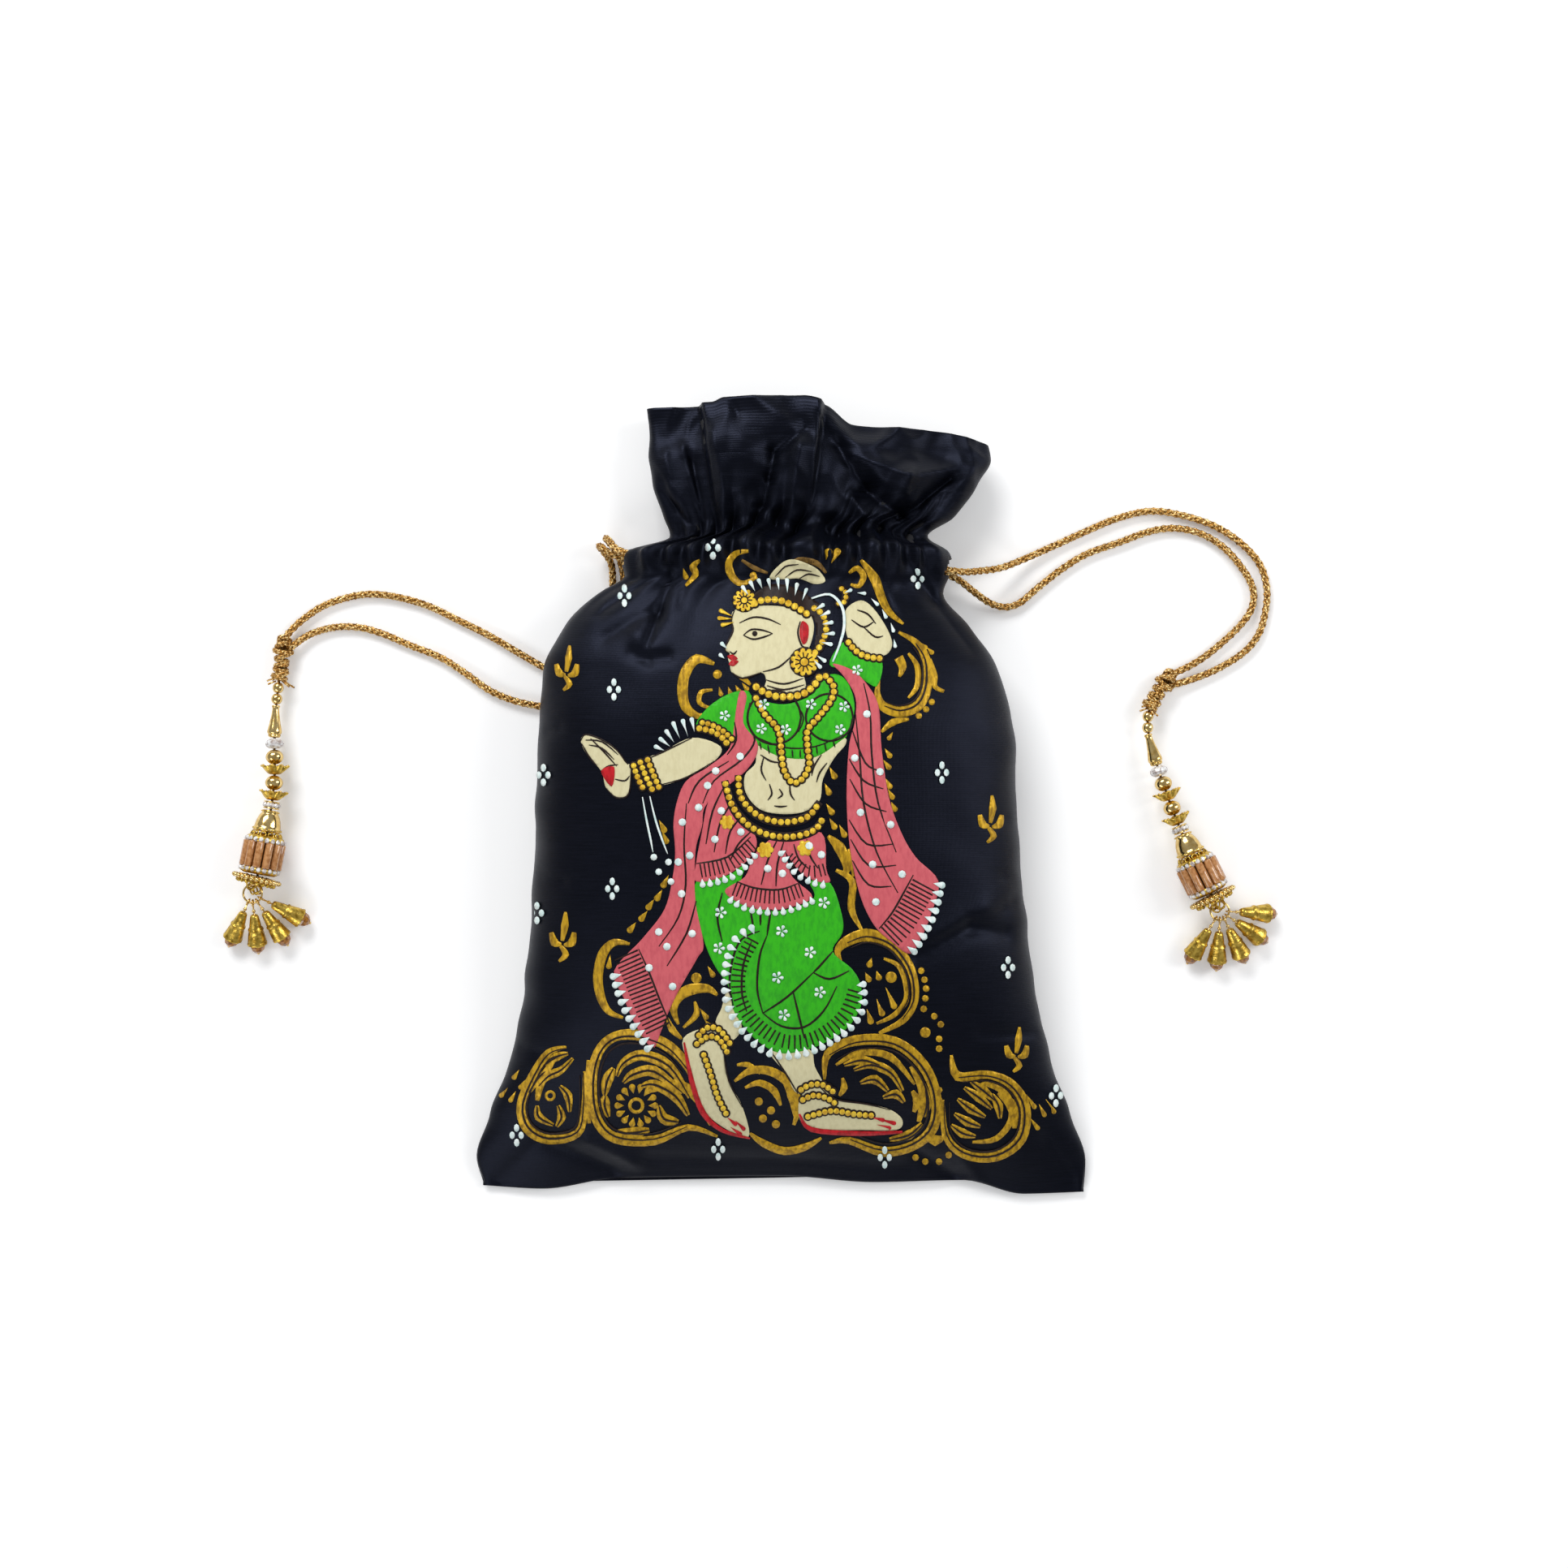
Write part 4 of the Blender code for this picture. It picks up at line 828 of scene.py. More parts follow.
def braid_lines(points, diameter):
    """Eight strands woven over and under each other round a line, four turning each way."""
    share = diameter / CORD_DIAMETER
    turn_rate = 2 * math.pi / (BRAID_PITCH * share)
    frames = frames_along(points)
    lines = []
    for direction in (1, -1):
        for strand in range(4):
            line = []
            run = 0.0
            for i, (point, side, up) in enumerate(frames):
                run += (point - points[i - 1]).length if i else 0.0
                angle = math.pi / 2 * strand + direction * turn_rate * run
                wave = math.cos(4 * turn_rate * run)
                radius = share * (BRAID_RADIUS + direction * BRAID_WAVE * wave)
                line.append(point + (side * math.cos(angle) + up * math.sin(angle)) * radius)
            lines.append(line)
    return lines


def mesh_piece(name, mesh, finish):
    mesh.materials.clear()
    mesh.materials.append(finish)
    mesh.shade_smooth()
    return add_object(name, mesh)


def braided_cord(name, route):
    """One free end of a drawstring, from its slit to its knot."""
    points = [Vector(place) * MM for place in route]
    path = smooth_route(points, BRAID_STEP)
    mesh = strands_mesh(name, braid_lines(path, CORD_DIAMETER), STRAND / 2)
    return mesh_piece(name + "_braid", mesh, ZARI), path


def tassel_line(route):
    """The thread's line from the knot to the ring, rising from the table as the beads get larger."""
    fine = smooth_route([Vector((x, y, 0.0)) * MM for x, y in route], 0.5 * MM)
    for i, point in enumerate(fine):
        point.z = LINE_START_HEIGHT + (LINE_END_HEIGHT - LINE_START_HEIGHT) * i / (len(fine) - 1)
    return fine


def place_on_line(line, distance):
    """A frame whose origin lies on the line, and whose +Z looks back along it to the knot."""
    run = 0.0
    for before, after in zip(line, line[1:]):
        length = (after - before).length
        if run + length >= distance or after is line[-1]:
            point = before.lerp(after, (distance - run) / length)
            back = (before - after).normalized()
            break
        run += length
    side = Vector((0.0, 0.0, 1.0)).cross(back).normalized()
    up = back.cross(side)
    return Matrix.Translation(point) @ Matrix((side, up, back)).transposed().to_4x4()


def knot_piece(side, line):
    """The two cord ends tied round each other in tight turns, with a few frayed threads under them."""
    lines = []
    for number, (place, radius, tilt, heading) in enumerate(KNOT_LOOPS):
        above = Matrix.Translation((0.0, 0.0, max(-place, 0.0) * MM))
        here = place_on_line(line, max(place, 0.0) * MM) @ above
        turn = Matrix.Rotation(heading, 4, "Z") @ Matrix.Rotation(tilt, 4, "X")
        loop = []
        for i in range(29):
            angle = 2 * math.pi * i / 28
            reach = radius * MM * (1 + 0.08 * math.sin(2 * angle + number))
            loop.append(here @ turn @ Vector((reach * math.cos(angle), reach * math.sin(angle), 0.0)))
        lines.extend(braid_lines(even_points(loop, BRAID_STEP * 0.8), KNOT_TUBE))
    for number in range(KNOT_ENDS):
        start = place_on_line(line, (KNOT_FOOT - 0.5 * (number % 3)) * MM)
        heading = number * 2.4 + (0.6 if side == "left" else 2.0)
        out = Vector((math.cos(heading), 0.4 * abs(math.sin(heading)) + 0.2, -0.5))
        reach = (2.6 + 1.2 * math.sin(number * 1.9)) * MM
        droop = Vector((0.0, 0.0, -0.35 * reach))
        lines.append([
            start @ (out * (KNOT_RADIUS * 0.6 + reach * t)) + droop * t * t for t in (0.0, 0.3, 0.6, 1.0)
        ])
    mesh = strands_mesh(side + "_knot", lines, STRAND / 2 * KNOT_TUBE / CORD_DIAMETER)
    return mesh_piece(side + "_knot_braid", mesh, ZARI)


def thread_piece(side, line, reach):
    """Three plies twisted together, under and between the beads."""
    count = 160
    path = [place_on_line(line, reach * i / count).translation for i in range(count + 1)]
    plies = []
    for ply in range(3):
        plies.append([
            point + (across * math.cos(0.9 * i + 2.1 * ply) + up * math.sin(0.9 * i + 2.1 * ply)) * PLY_RADIUS
            for i, (point, across, up) in enumerate(frames_along(path))
        ])
    mesh = strands_mesh(side + "_thread", plies, PLY_RADIUS * 1.05)
    return mesh_piece(side + "_thread_twist", mesh, THREAD), path


def metres(profile):
    return [(radius * MM, height * MM) for radius, height in profile]


def turned(profile, steps, closed=True):
    """A shape turned about Z from a closed loop, or an open line, of (radius, height) points in metres."""
    bm = bmesh.new()
    verts = [bm.verts.new((radius, 0.0, height)) for radius, height in profile]
    edges = [bm.edges.new((verts[i - 1], verts[i])) for i in range(0 if closed else 1, len(verts))]
    bmesh.ops.spin(
        bm, geom=verts + edges, axis=(0, 0, 1), cent=(0, 0, 0), steps=steps, angle=2 * math.pi,
        use_merge=True,
    )
    bmesh.ops.remove_doubles(bm, verts=bm.verts, dist=0.001 * MM)
    bmesh.ops.recalc_face_normals(bm, faces=bm.faces)
    return bm


def bead(side, steps, finish, smooth=True):
    """A turned bead, from its outer side in millimetres and its bore."""
    points = metres(side)
    return turned([*points, (BORE, points[-1][1]), (BORE, points[0][1])], steps), finish, smooth


def ball_side(diameter, length, count=13):
    """The outer side of a ball bead from its knot end to its bell end, in millimetres."""
    lip = math.asin(1.7 / diameter)
    stretch = length / (diameter * math.cos(lip))
    angles = [lip + (math.pi - 2 * lip) * i / (count - 1) for i in range(count)]
    return [(diameter / 2 * math.sin(a), diameter / 2 * stretch * math.cos(a)) for a in angles]


def small_ball(centre, diameter, detail=1):
    bm = bmesh.new()
    bmesh.ops.create_icosphere(bm, subdivisions=detail, radius=diameter / 2)
    bmesh.ops.transform(bm, matrix=Matrix.Translation(centre), verts=bm.verts)
    return bm


def ring_mesh(frame_here, diameter, wire, segments, sides):
    """A closed ring of wire about the frame's Z."""
    radius = diameter / 2
    profile = []
    for i in range(sides):
        angle = 2 * math.pi * i / sides
        profile.append((radius + wire / 2 * math.cos(angle), wire / 2 * math.sin(angle)))
    bm = turned(profile, segments)
    bmesh.ops.transform(bm, matrix=frame_here, verts=bm.verts)
    return bm


def around(count, radius, height, phase=0.0):
    """Places round Z, in millimetres in, metres out, with their heading."""
    for i in range(count):
        angle = 2 * math.pi * (i + phase) / count
        yield angle, Vector((radius * math.cos(angle), radius * math.sin(angle), height)) * MM


def stone(centre, heading, size):
    """A small cut stone, its table looking outwards."""
    bm = bmesh.new()
    bmesh.ops.create_cone(bm, cap_ends=True, segments=8, radius1=size / 2, radius2=size / 3.6, depth=size / 3)
    bmesh.ops.create_cone(
        bm, cap_ends=True, segments=8, radius1=size / 2, radius2=size / 3, depth=size / 4,
        matrix=Matrix.Translation((0, 0, -size * 0.29)) @ Matrix.Rotation(math.pi, 4, "X"),
    )
    turn = Matrix.Rotation(heading, 4, "Z") @ Matrix.Rotation(math.pi / 2, 4, "Y")
    bmesh.ops.transform(bm, matrix=Matrix.Translation(centre) @ turn, verts=bm.verts)
    return bm


def ball_ring(count, radius, height, diameter, finish, phase=0.0):
    """Little balls round a bead, sizes in millimetres."""
    return [(small_ball(centre, diameter * MM), finish, True)
            for _, centre in around(count, radius, height, phase)]


def stone_ring(count, radius, height, size, phase=0.0):
    """Cut stones round a bead, sizes in millimetres."""
    return [(stone(centre, heading, size * MM), CRYSTAL, False)
            for heading, centre in around(count, radius, height, phase)]


def small_bead(diameter, length):
    return [bead(ball_side(diameter, length), 28, GOLD)]


def cone_bead():
    """A long drop: a fluted neck, smooth shoulders, and a collar at its wide end."""
    side = ((1.05, 4.7), (1.2, 4.5), (1.2, 4.2), (1.0, 4.0), (1.02, 3.3), (1.15, 2.2), (1.36, 0.8), (1.62, -0.6),
            (1.9, -1.8), (2.08, -2.7), (2.1, -3.1), (2.0, -3.5), (1.7, -3.8), (1.55, -3.95), (1.75, -4.1),
            (1.75, -4.4), (1.3, -4.7))
    return [bead(side, 28, GOLD), *ball_ring(10, 1.62, -4.02, 0.5, ANTIQUE)]


def glass_bead():
    """A faceted crystal rondelle."""
    side = ((1.5, 1.4), (2.45, 0.75), (2.7, 0.1), (2.7, -0.1), (2.45, -0.75), (1.5, -1.4))
    rondelle = bead(side, 12, CRYSTAL, False)
    bmesh.ops.triangulate(rondelle[0], faces=rondelle[0].faces)
    return [rondelle]


def flower_cap():
    """A stamped cap of eight curled petals with beaded edges."""
    cup = ((0.75, -1.3), (1.6, -1.25), (2.2, -0.85), (2.9, -0.25), (3.5, 0.35), (4.0, 0.75), (4.25, 1.1))
    collar = ((1.3, 0.2), (1.6, -0.2), (1.6, -1.0), (1.3, -1.3))
    petals = turned(metres(cup), 64, closed=False)
    for vert in petals.verts:
        radius = math.hypot(vert.co.x, vert.co.y) / MM
        angle = math.atan2(vert.co.y, vert.co.x)
        petal = abs(math.cos(angle * 4)) ** 0.6
        open_share = step_up((radius - 1.9) / 2.2)
        uneven = 0.06 * math.sin(3 * angle + 1.0)
        vert.co.xy *= 1 - open_share * (0.36 * (1 - petal) + uneven)
        vert.co.z += open_share * (0.45 * petal - 0.35 + 1.5 * uneven) * MM
    bmesh.ops.recalc_face_normals(petals, faces=petals.faces)
    bmesh.ops.solidify(petals, geom=petals.faces[:], thickness=0.3 * MM)
    return [
        (petals, ANTIQUE, True), bead(collar, 20, ANTIQUE),
        *ball_ring(8, 3.85, 1.2, 0.75, GOLD), *ball_ring(16, 2.3, -0.2, 0.45, GOLD, 0.5),
    ]


def stone_rondelle():
    """A rondelle of small rhinestones between two gold plates."""
    plate = ((1.3, 1.1), (2.2, 1.1), (2.35, 0.95), (2.1, 0.7), (1.9, 0.5), (1.9, -0.5), (2.1, -0.7), (2.35, -0.95),
             (2.2, -1.1), (1.3, -1.1))
    return [bead(plate, 24, GOLD), *stone_ring(10, 2.3, 0.0, 1.5)]


def dome_bead():
    """A bullet-shaped dome with a beaded rim and a milled collar."""
    side = ((1.6, 3.2), (2.2, 3.15), (2.5, 2.9), (2.5, 2.6), (2.3, 2.4), (2.6, 2.0), (3.0, 1.3), (3.35, 0.4),
            (3.6, -0.6), (3.75, -1.4), (3.8, -1.9), (4.0, -2.1), (4.1, -2.4), (4.05, -2.8), (3.7, -3.1), (2.6, -3.2))
    return [
        bead(side, 36, GOLD),
        *ball_ring(26, 3.98, -2.45, 0.62, ANTIQUE), *ball_ring(14, 2.5, 2.75, 0.5, ANTIQUE),
    ]


def barrel_bead():
    """Glass rods round a dark core, a ring of rhinestones at each end, and a filigree crown."""
    core = ((2.4, 4.6), (4.3, 4.4), (4.6, 3.6), (4.6, -4.6), (4.3, -5.4), (2.4, -5.6))
    top = ((2.2, 6.0), (3.4, 5.8), (4.0, 5.4), (4.7, 5.2), (5.2, 4.9), (5.5, 4.4), (5.5, 3.5), (5.1, 3.2), (4.2, 3.2),
           (4.0, 4.4), (2.2, 5.4))
    foot = ((4.2, -3.9), (5.1, -3.9), (5.6, -4.2), (5.6, -5.2), (5.2, -5.6), (4.4, -6.0), (2.2, -6.0), (2.2, -5.6),
            (4.0, -5.2))
    parts = [bead(core, 28, CORE)]
    for side in (top, foot):
        parts.append((turned(metres(side), 36), ANTIQUE, True))
    for _, centre in around(BARREL_RODS, 5.05, -0.35):
        rod = bmesh.new()
        bmesh.ops.create_cone(
            rod, cap_ends=True, segments=10, radius1=1.16 * MM, radius2=1.16 * MM, depth=7.4 * MM,
            matrix=Matrix.Translation(centre),
        )
        rims = [edge for edge in rod.edges if abs(edge.verts[0].co.z - edge.verts[1].co.z) < 0.01 * MM]
        bmesh.ops.bevel(rod, geom=rims, offset=0.25 * MM, segments=2, profile=0.5, affect="EDGES", material=-1)
        parts.append((rod, ROSE, True))
    parts += stone_ring(BARREL_STONES, 5.6, 3.95, 1.6) + stone_ring(BARREL_STONES, 5.7, -4.7, 1.6, 0.5)
    for angle, centre in around(12, 4.3, 5.6):
        lean = Matrix.Rotation(angle, 4, "Z") @ Matrix.Rotation(math.pi / 2.6, 4, "Y")
        loop = ring_mesh(Matrix.Translation(centre) @ lean, 1.6 * MM, 0.4 * MM, 12, 6)
        parts.append((loop, ANTIQUE, True))
    return parts


def disc_bead():
    """A filigree disc: curls of wire between a hub and a beaded edge."""
    plate = ((2.2, 0.7), (5.9, 0.3), (6.3, 0.25), (6.3, -0.25), (5.9, -0.4), (2.2, -0.8))
    parts = [
        bead(plate, 40, ANTIQUE),
        *ball_ring(DISC_BEADS, 6.55, 0.0, 1.45, GOLD), *ball_ring(20, 5.2, -1.1, 1.4, ANTIQUE),
    ]
    for height in (0.55, -0.6):
        for _, centre in around(12, 4.5, height):
            curl = ring_mesh(Matrix.Translation(centre), 1.9 * MM, 0.42 * MM, 12, 6)
            parts.append((curl, GOLD, True))
        parts += ball_ring(12, 3.2, height * 1.2, 0.7, GOLD, 0.5)
    return parts


def dressed(name, parts, frame_here):
    """One piece from several closed meshes, each with its own finish and shading."""
    whole = bmesh.new()
    finishes = []
    for bm, finish, smooth in parts:
        if finish not in finishes:
            finishes.append(finish)
        for face in bm.faces:
            face.material_index = finishes.index(finish)
            face.smooth = smooth
        mesh = mesh_from("part", bm)
        whole.from_mesh(mesh)
        bpy.data.meshes.remove(mesh)
    bmesh.ops.transform(whole, matrix=frame_here, verts=whole.verts)
    mesh = mesh_from(name, whole)
    for finish in finishes:
        mesh.materials.append(finish)
    return add_object(name, mesh)


def bell_parts():
    """A hollow hammered bell with a ridge at its waist and a scalloped rim. Its eye is at the origin."""
    outer = ((0.35, -3.7), (0.8, -3.75), (1.1, -4.0), (1.25, -4.4), (1.5, -5.8), (1.75, -7.3), (1.84, -7.9),
             (2.18, -8.1), (2.24, -8.35), (2.18, -8.6), (2.05, -8.8), (2.3, -9.8), (2.58, -11.4), (2.7, -12.2),
             (2.88, -12.55), (2.84, -12.9))
    inner = ((2.6, -12.85), (2.46, -12.2), (2.05, -10.0), (1.7, -8.4), (1.4, -6.9), (1.1, -5.4), (0.35, -4.9))
    bell = turned(metres(outer + inner), 32)
    for vert in bell.verts:
        if vert.co.z < -12.0 * MM:
            angle = math.atan2(vert.co.y, vert.co.x)
            vert.co.z -= 0.22 * MM * abs(math.sin(5 * angle))
    return [(bell, ANTIQUE, True)]


def drop_parts():
    """The wire pin through a bell, with its eye, and the faceted drop at its foot."""
    start = -12.1
    girdle = ((0.25, start), (1.2, start - 0.1), (2.1, start - 1.1), (2.15, start - 1.6), (1.8, start - 2.7),
              (0.95, start - 3.6), (0.25, start - 3.8))
    drop = turned(metres(girdle), 8)
    bmesh.ops.triangulate(drop, faces=drop.faces)
    pin = bmesh.new()
    bmesh.ops.create_cone(
        pin, cap_ends=True, segments=8, radius1=0.24 * MM, radius2=0.24 * MM, depth=14.6 * MM,
        matrix=Matrix.Translation((0.0, 0.0, -8.3 * MM)),
    )
    eye = ring_mesh(Matrix.Rotation(math.pi / 2, 4, "X"), 1.8 * MM, 0.5 * MM, 20, 8)
    collar = small_ball(Vector((0.0, 0.0, -2.6 * MM)), 1.1 * MM, 2)
    tip = small_ball(Vector((0.0, 0.0, (start - 3.9) * MM)), 0.9 * MM, 2)
    return [(drop, AMBER, False), *((part, GOLD, True) for part in (pin, eye, collar, tip))]


def tassel(side, route, headings):
    """Knot, thread, beads, ring and bells of one side. It returns the knot."""
    line = tassel_line(route)
    knot = stand_in(knot_piece(side, line), side + "_knot")
    place = KNOT_TUBE + KNOT_TURNS * KNOT_PITCH + GAP
    for name, length, make, slot in BEADS:
        piece = dressed(f"{side}_{name}_detail", make(), place_on_line(line, place + length * MM / 2))
        stand_in(piece, f"{side}_{name}")
        place += length * MM + BEAD_GAP
    centre = place_on_line(line, place + (TASSEL_RING + RING_WIRE) / 2).translation
    rings = [(ring_mesh(Matrix.Translation(centre), TASSEL_RING, RING_WIRE, 40, 10), GOLD, True)]
    top = place_on_line(line, place + 0.6 * MM)
    for number in range(RING_LOOPS):
        out = Matrix.Translation((1.1 * MM, 0.0, -0.25 * MM * number)) @ Matrix.Rotation(1.1, 4, "X")
        loop = ring_mesh(top @ Matrix.Rotation(0.9 * number, 4, "Z") @ out, 2.6 * MM, 0.5 * MM, 20, 6)
        rings.append((loop, ANTIQUE, True))
    stand_in(dressed(side + "_ring_detail", rings, Matrix()), side + "_ring")
    for number, heading in enumerate(headings, 1):
        turn = Matrix.Rotation(math.radians(heading), 4, "Z")
        hook = centre + turn @ Vector((TASSEL_RING / 2, 0.0, 0.0))
        lean = Matrix.Rotation(-(math.pi / 2 - BELL_SLOPE), 4, "Y")
        hung = Matrix.Translation(hook) @ turn @ lean
        bell = f"{side}_bell_{number}"
        for parts, node, slot in (
            (bell_parts(), bell, "antique_gold"),
            (drop_parts(), bell + "_drop", "amber_glass"),
        ):
            piece = dressed(node + "_detail", parts, hung)
            stand_in(piece, node, bell + "_body")
    thread, path = thread_piece(side, line, place - BEAD_GAP)
    stand_in(thread, side + "_thread")
    return knot


def smooth_outline(points, closed=True, steps=5):
    """A smooth curve through points, in pixels."""
    count = len(points)
    if count < 3:
        closed = False
    found = []
    for i in range(count if closed else count - 1):
        near = (i - 1, i, i + 1, i + 2)
        a, b, c, d = (points[k % count] if closed else points[min(max(k, 0), count - 1)] for k in near)
        for step in range(steps):
            t = step / steps
            found.append(tuple(
                0.5 * (2 * q + (r - p) * t + (2 * p - 5 * q + 4 * r - s) * t * t
                       + (3 * q - p - 3 * r + s) * t ** 3)
                for p, q, r, s in zip(a, b, c, d)
            ))
    return found if closed else found + [tuple(points[-1])]


def stroke(points, *widths):
    """A brush stroke along a smooth line, its width running through the widths given, in pixels."""
    line = smooth_outline(points, closed=False, steps=4 if len(points) > 2 else 3)
    left, right = [], []
    for i, (u, v) in enumerate(line):
        before, after = line[max(i - 1, 0)], line[min(i + 1, len(line) - 1)]
        du, dv = after[0] - before[0], after[1] - before[1]
        length = math.hypot(du, dv) or 1.0
        share = i / (len(line) - 1) * (len(widths) - 1)
        k = min(int(share), len(widths) - 2)
        half = (widths[k] + (widths[k + 1] - widths[k]) * (share - k)) / 2
        left.append((u - dv / length * half, v + du / length * half))
        right.append((u + dv / length * half, v - du / length * half))
    return left + right[::-1]


def dab(u0, v0, u1, v1, width):
    """One touch of a loaded brush: pointed where it starts, round where it ends."""
    du, dv = u1 - u0, v1 - v0
    length = math.hypot(du, dv) or 1.0
    du, dv = du / length, dv / length
    half = width / 2
    outline = [(u0, v0)]
    for i in range(9):
        angle = math.pi * (i / 8 - 0.5)
        reach = length - half + half * math.cos(angle)
        side = half * math.sin(angle)
        outline.append((u0 + du * reach - dv * side, v0 + dv * reach + du * side))
    return outline


def spokes(count, start=0.0):
    """Directions evenly round a centre."""
    angles = [2 * math.pi * i / count + start for i in range(count)]
    return [(math.cos(angle), math.sin(angle)) for angle in angles]


def dot(u, v, radius, stretch=1.0):
    return [(u + radius * du, v + radius * stretch * dv) for du, dv in spokes(8 if radius < 5 else 14)]


def circle_line(u, v, radius, width):
    ring = [(u + radius * du, v + radius * dv) for du, dv in spokes(12)]
    return stroke(ring + ring[:1], width, width)


def spaced(points, step):
    """Places at even steps along a smooth line, with the direction of the line there."""
    line = smooth_outline(points, closed=False, steps=6)
    found = []
    carried = step / 2
    for (u0, v0), (u1, v1) in zip(line, line[1:]):
        length = math.hypot(u1 - u0, v1 - v0)
        if length == 0:
            continue
        while carried <= length:
            t = carried / length
            found.append((u0 + (u1 - u0) * t, v0 + (v1 - v0) * t, (u1 - u0) / length, (v1 - v0) / length))
            carried += step
        carried -= length
    return found


def bead_row(points, step, radius):
    return [dot(u, v, radius) for u, v, _, _ in spaced(points, step)]


def fringe(points, step, reach, width):
    """Short touches that stand out from a line, on its right when the line runs down."""
    return [dab(u, v, u - dv * reach, v + du * reach, width) for u, v, du, dv in spaced(points, step)]


def hatch(points, step, reach, width):
    """Short even lines that stand out from a line."""
    return [stroke([(u, v), (u - dv * reach, v + du * reach)], width, width * 0.8)
            for u, v, du, dv in spaced(points, step)]


def four_drops(u, v):
    """Four white drops in a diamond."""
    around_it = ((0, -9, 1.5), (-5.5, 0, 1.4), (5.5, 0, 1.4), (0, 9, 1.5))
    return [dot(u + across, v + down, 3.3, stretch) for across, down, stretch in around_it]


def flower(u, v, size):
    """A little flower of five touches."""
    return [dab(u + du * size * 0.2, v + dv * size * 0.2, u + du * size * 1.7, v + dv * size * 1.7, size)
            for du, dv in spokes(5, -1.2)]


def sprig(u, v, size, lean):
    """A gold sprig: a tall middle leaf, a side leaf each way, and a foot."""
    leaves = (
        ((lean / size, -28), (3, -12), (0, 6), (3, 9, 4)),
        ((-13, -4), (-9, 8), (-1 / size, 10), (5, 10, 3)),
        ((14, -4), (11, 8), (2 / size, 11), (5, 10, 3)),
        ((-2 / size, 12), (4, 22), (-4, 30), (4, 8, 3)),
    )
    return [stroke([(u + across * size, v + down * size) for across, down in points], start, middle * size, end)
            for *points, (start, middle, end) in leaves]


class Coat:
    """The shapes painted in one colour."""

    def __init__(self, name, finish, level):
        self.name, self.finish, self.level = name, finish, level
        self.shapes = []

    def area(self, *points, steps=5):
        self.shapes.append(smooth_outline(points, True, steps))

    def line(self, points, *widths):
        self.shapes.append(stroke(points, *widths))

    def lines(self, width, *lines):
        """Thin lines that taper at both ends."""
        for points in lines:
            self.line(points, width * 0.45, width, width, width * 0.35)

    def put(self, shapes):
        self.shapes.extend(shapes)

    def dabs(self, width, *touches):
        self.shapes.extend(dab(*touch, width) for touch in touches)

    def dots(self, radius, *centres):
        self.shapes.extend(dot(u, v, radius) for u, v in centres)


def extent(shape):
    """The least and greatest pixel of an outline, across and down."""
    return [(min(values), max(values)) for values in zip(*shape)]


def grid_inside(shape):
    """Points of an even grid inside an outline, so that a wide shape follows the cloth's folds."""
    (left, right), (top, bottom) = extent(shape)
    found = []
    v = math.ceil(top / PAINT_GRID) * PAINT_GRID
    while v < bottom:
        u = math.ceil(left / PAINT_GRID) * PAINT_GRID
        while u < right:
            if inside(shape, u, v):
                found.append((u, v))
            u += PAINT_GRID
        v += PAINT_GRID
    return found


def inside(shape, u, v):
    """Whether an outline winds round a point."""
    turns = 0
    for (u0, v0), (u1, v1) in zip(shape, shape[1:] + shape[:1]):
        if (v0 <= v) != (v1 <= v) and u0 + (v - v0) / (v1 - v0) * (u1 - u0) > u:
            turns += 1 if v1 > v0 else -1
    return turns != 0


def neighbourhoods(shapes):
    """The shapes that come near each cell of a coarse grid."""
    near = {}
    for shape in shapes:
        (left, right), (top, bottom) = extent(shape)
        for i in range(int(left) // PAINT_CELL, int(right) // PAINT_CELL + 1):
            for j in range(int(top) // PAINT_CELL, int(bottom) // PAINT_CELL + 1):
                near.setdefault((i, j), []).append(shape)
    return near


def paint_piece(coat, tree):
    """One colour's shapes, cut into triangles, laid on the front of the cloth and given a thin coat."""
    corners = []
    edges = []
    for shape in coat.shapes:
        first, count = len(corners), len(shape)
        edges.extend((first + i, first + (i + 1) % count) for i in range(count))
        corners.extend(shape)
    for shape in coat.shapes:
        corners.extend(grid_inside(shape))
    points = [Vector(corner) for corner in corners]
    verts, _, faces, *_ = delaunay_2d_cdt(points, edges, [], 0, PAINT_MERGE, False)
    near = neighbourhoods(coat.shapes)
    bm = bmesh.new()
    laid = []
    lift = PAINT_LIFT + PAINT_LAYER * coat.level
    for u, v in verts:
        hit, normal, _, _ = tree.ray_cast(VIEW, through_pixel(u, v))
        laid.append(bm.verts.new(hit + normal * lift) if hit else None)
    for face in faces:
        picked = [laid[i] for i in face]
        if None in picked or max((a.co - b.co).length for a, b in zip(picked, picked[1:])) > PAINT_LONGEST:
            continue
        u, v = sum((verts[i] for i in face), Vector((0.0, 0.0))) / 3
        cell = int(u) // PAINT_CELL, int(v) // PAINT_CELL
        if any(inside(shape, u, v) for shape in near.get(cell, ())):
            bm.faces.new(picked)
    bmesh.ops.recalc_face_normals(bm, faces=bm.faces)
    up = sum(face.normal.z * face.calc_area() for face in bm.faces)
    if up < 0:
        bmesh.ops.reverse_faces(bm, faces=bm.faces)
    bmesh.ops.delete(bm, geom=[vert for vert in bm.verts if not vert.link_faces], context="VERTS")
    piece = mesh_piece(coat.name, mesh_from(coat.name, bm), coat.finish)
    thicken(piece, "coat", PAINT_COAT)
    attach(piece, "root")


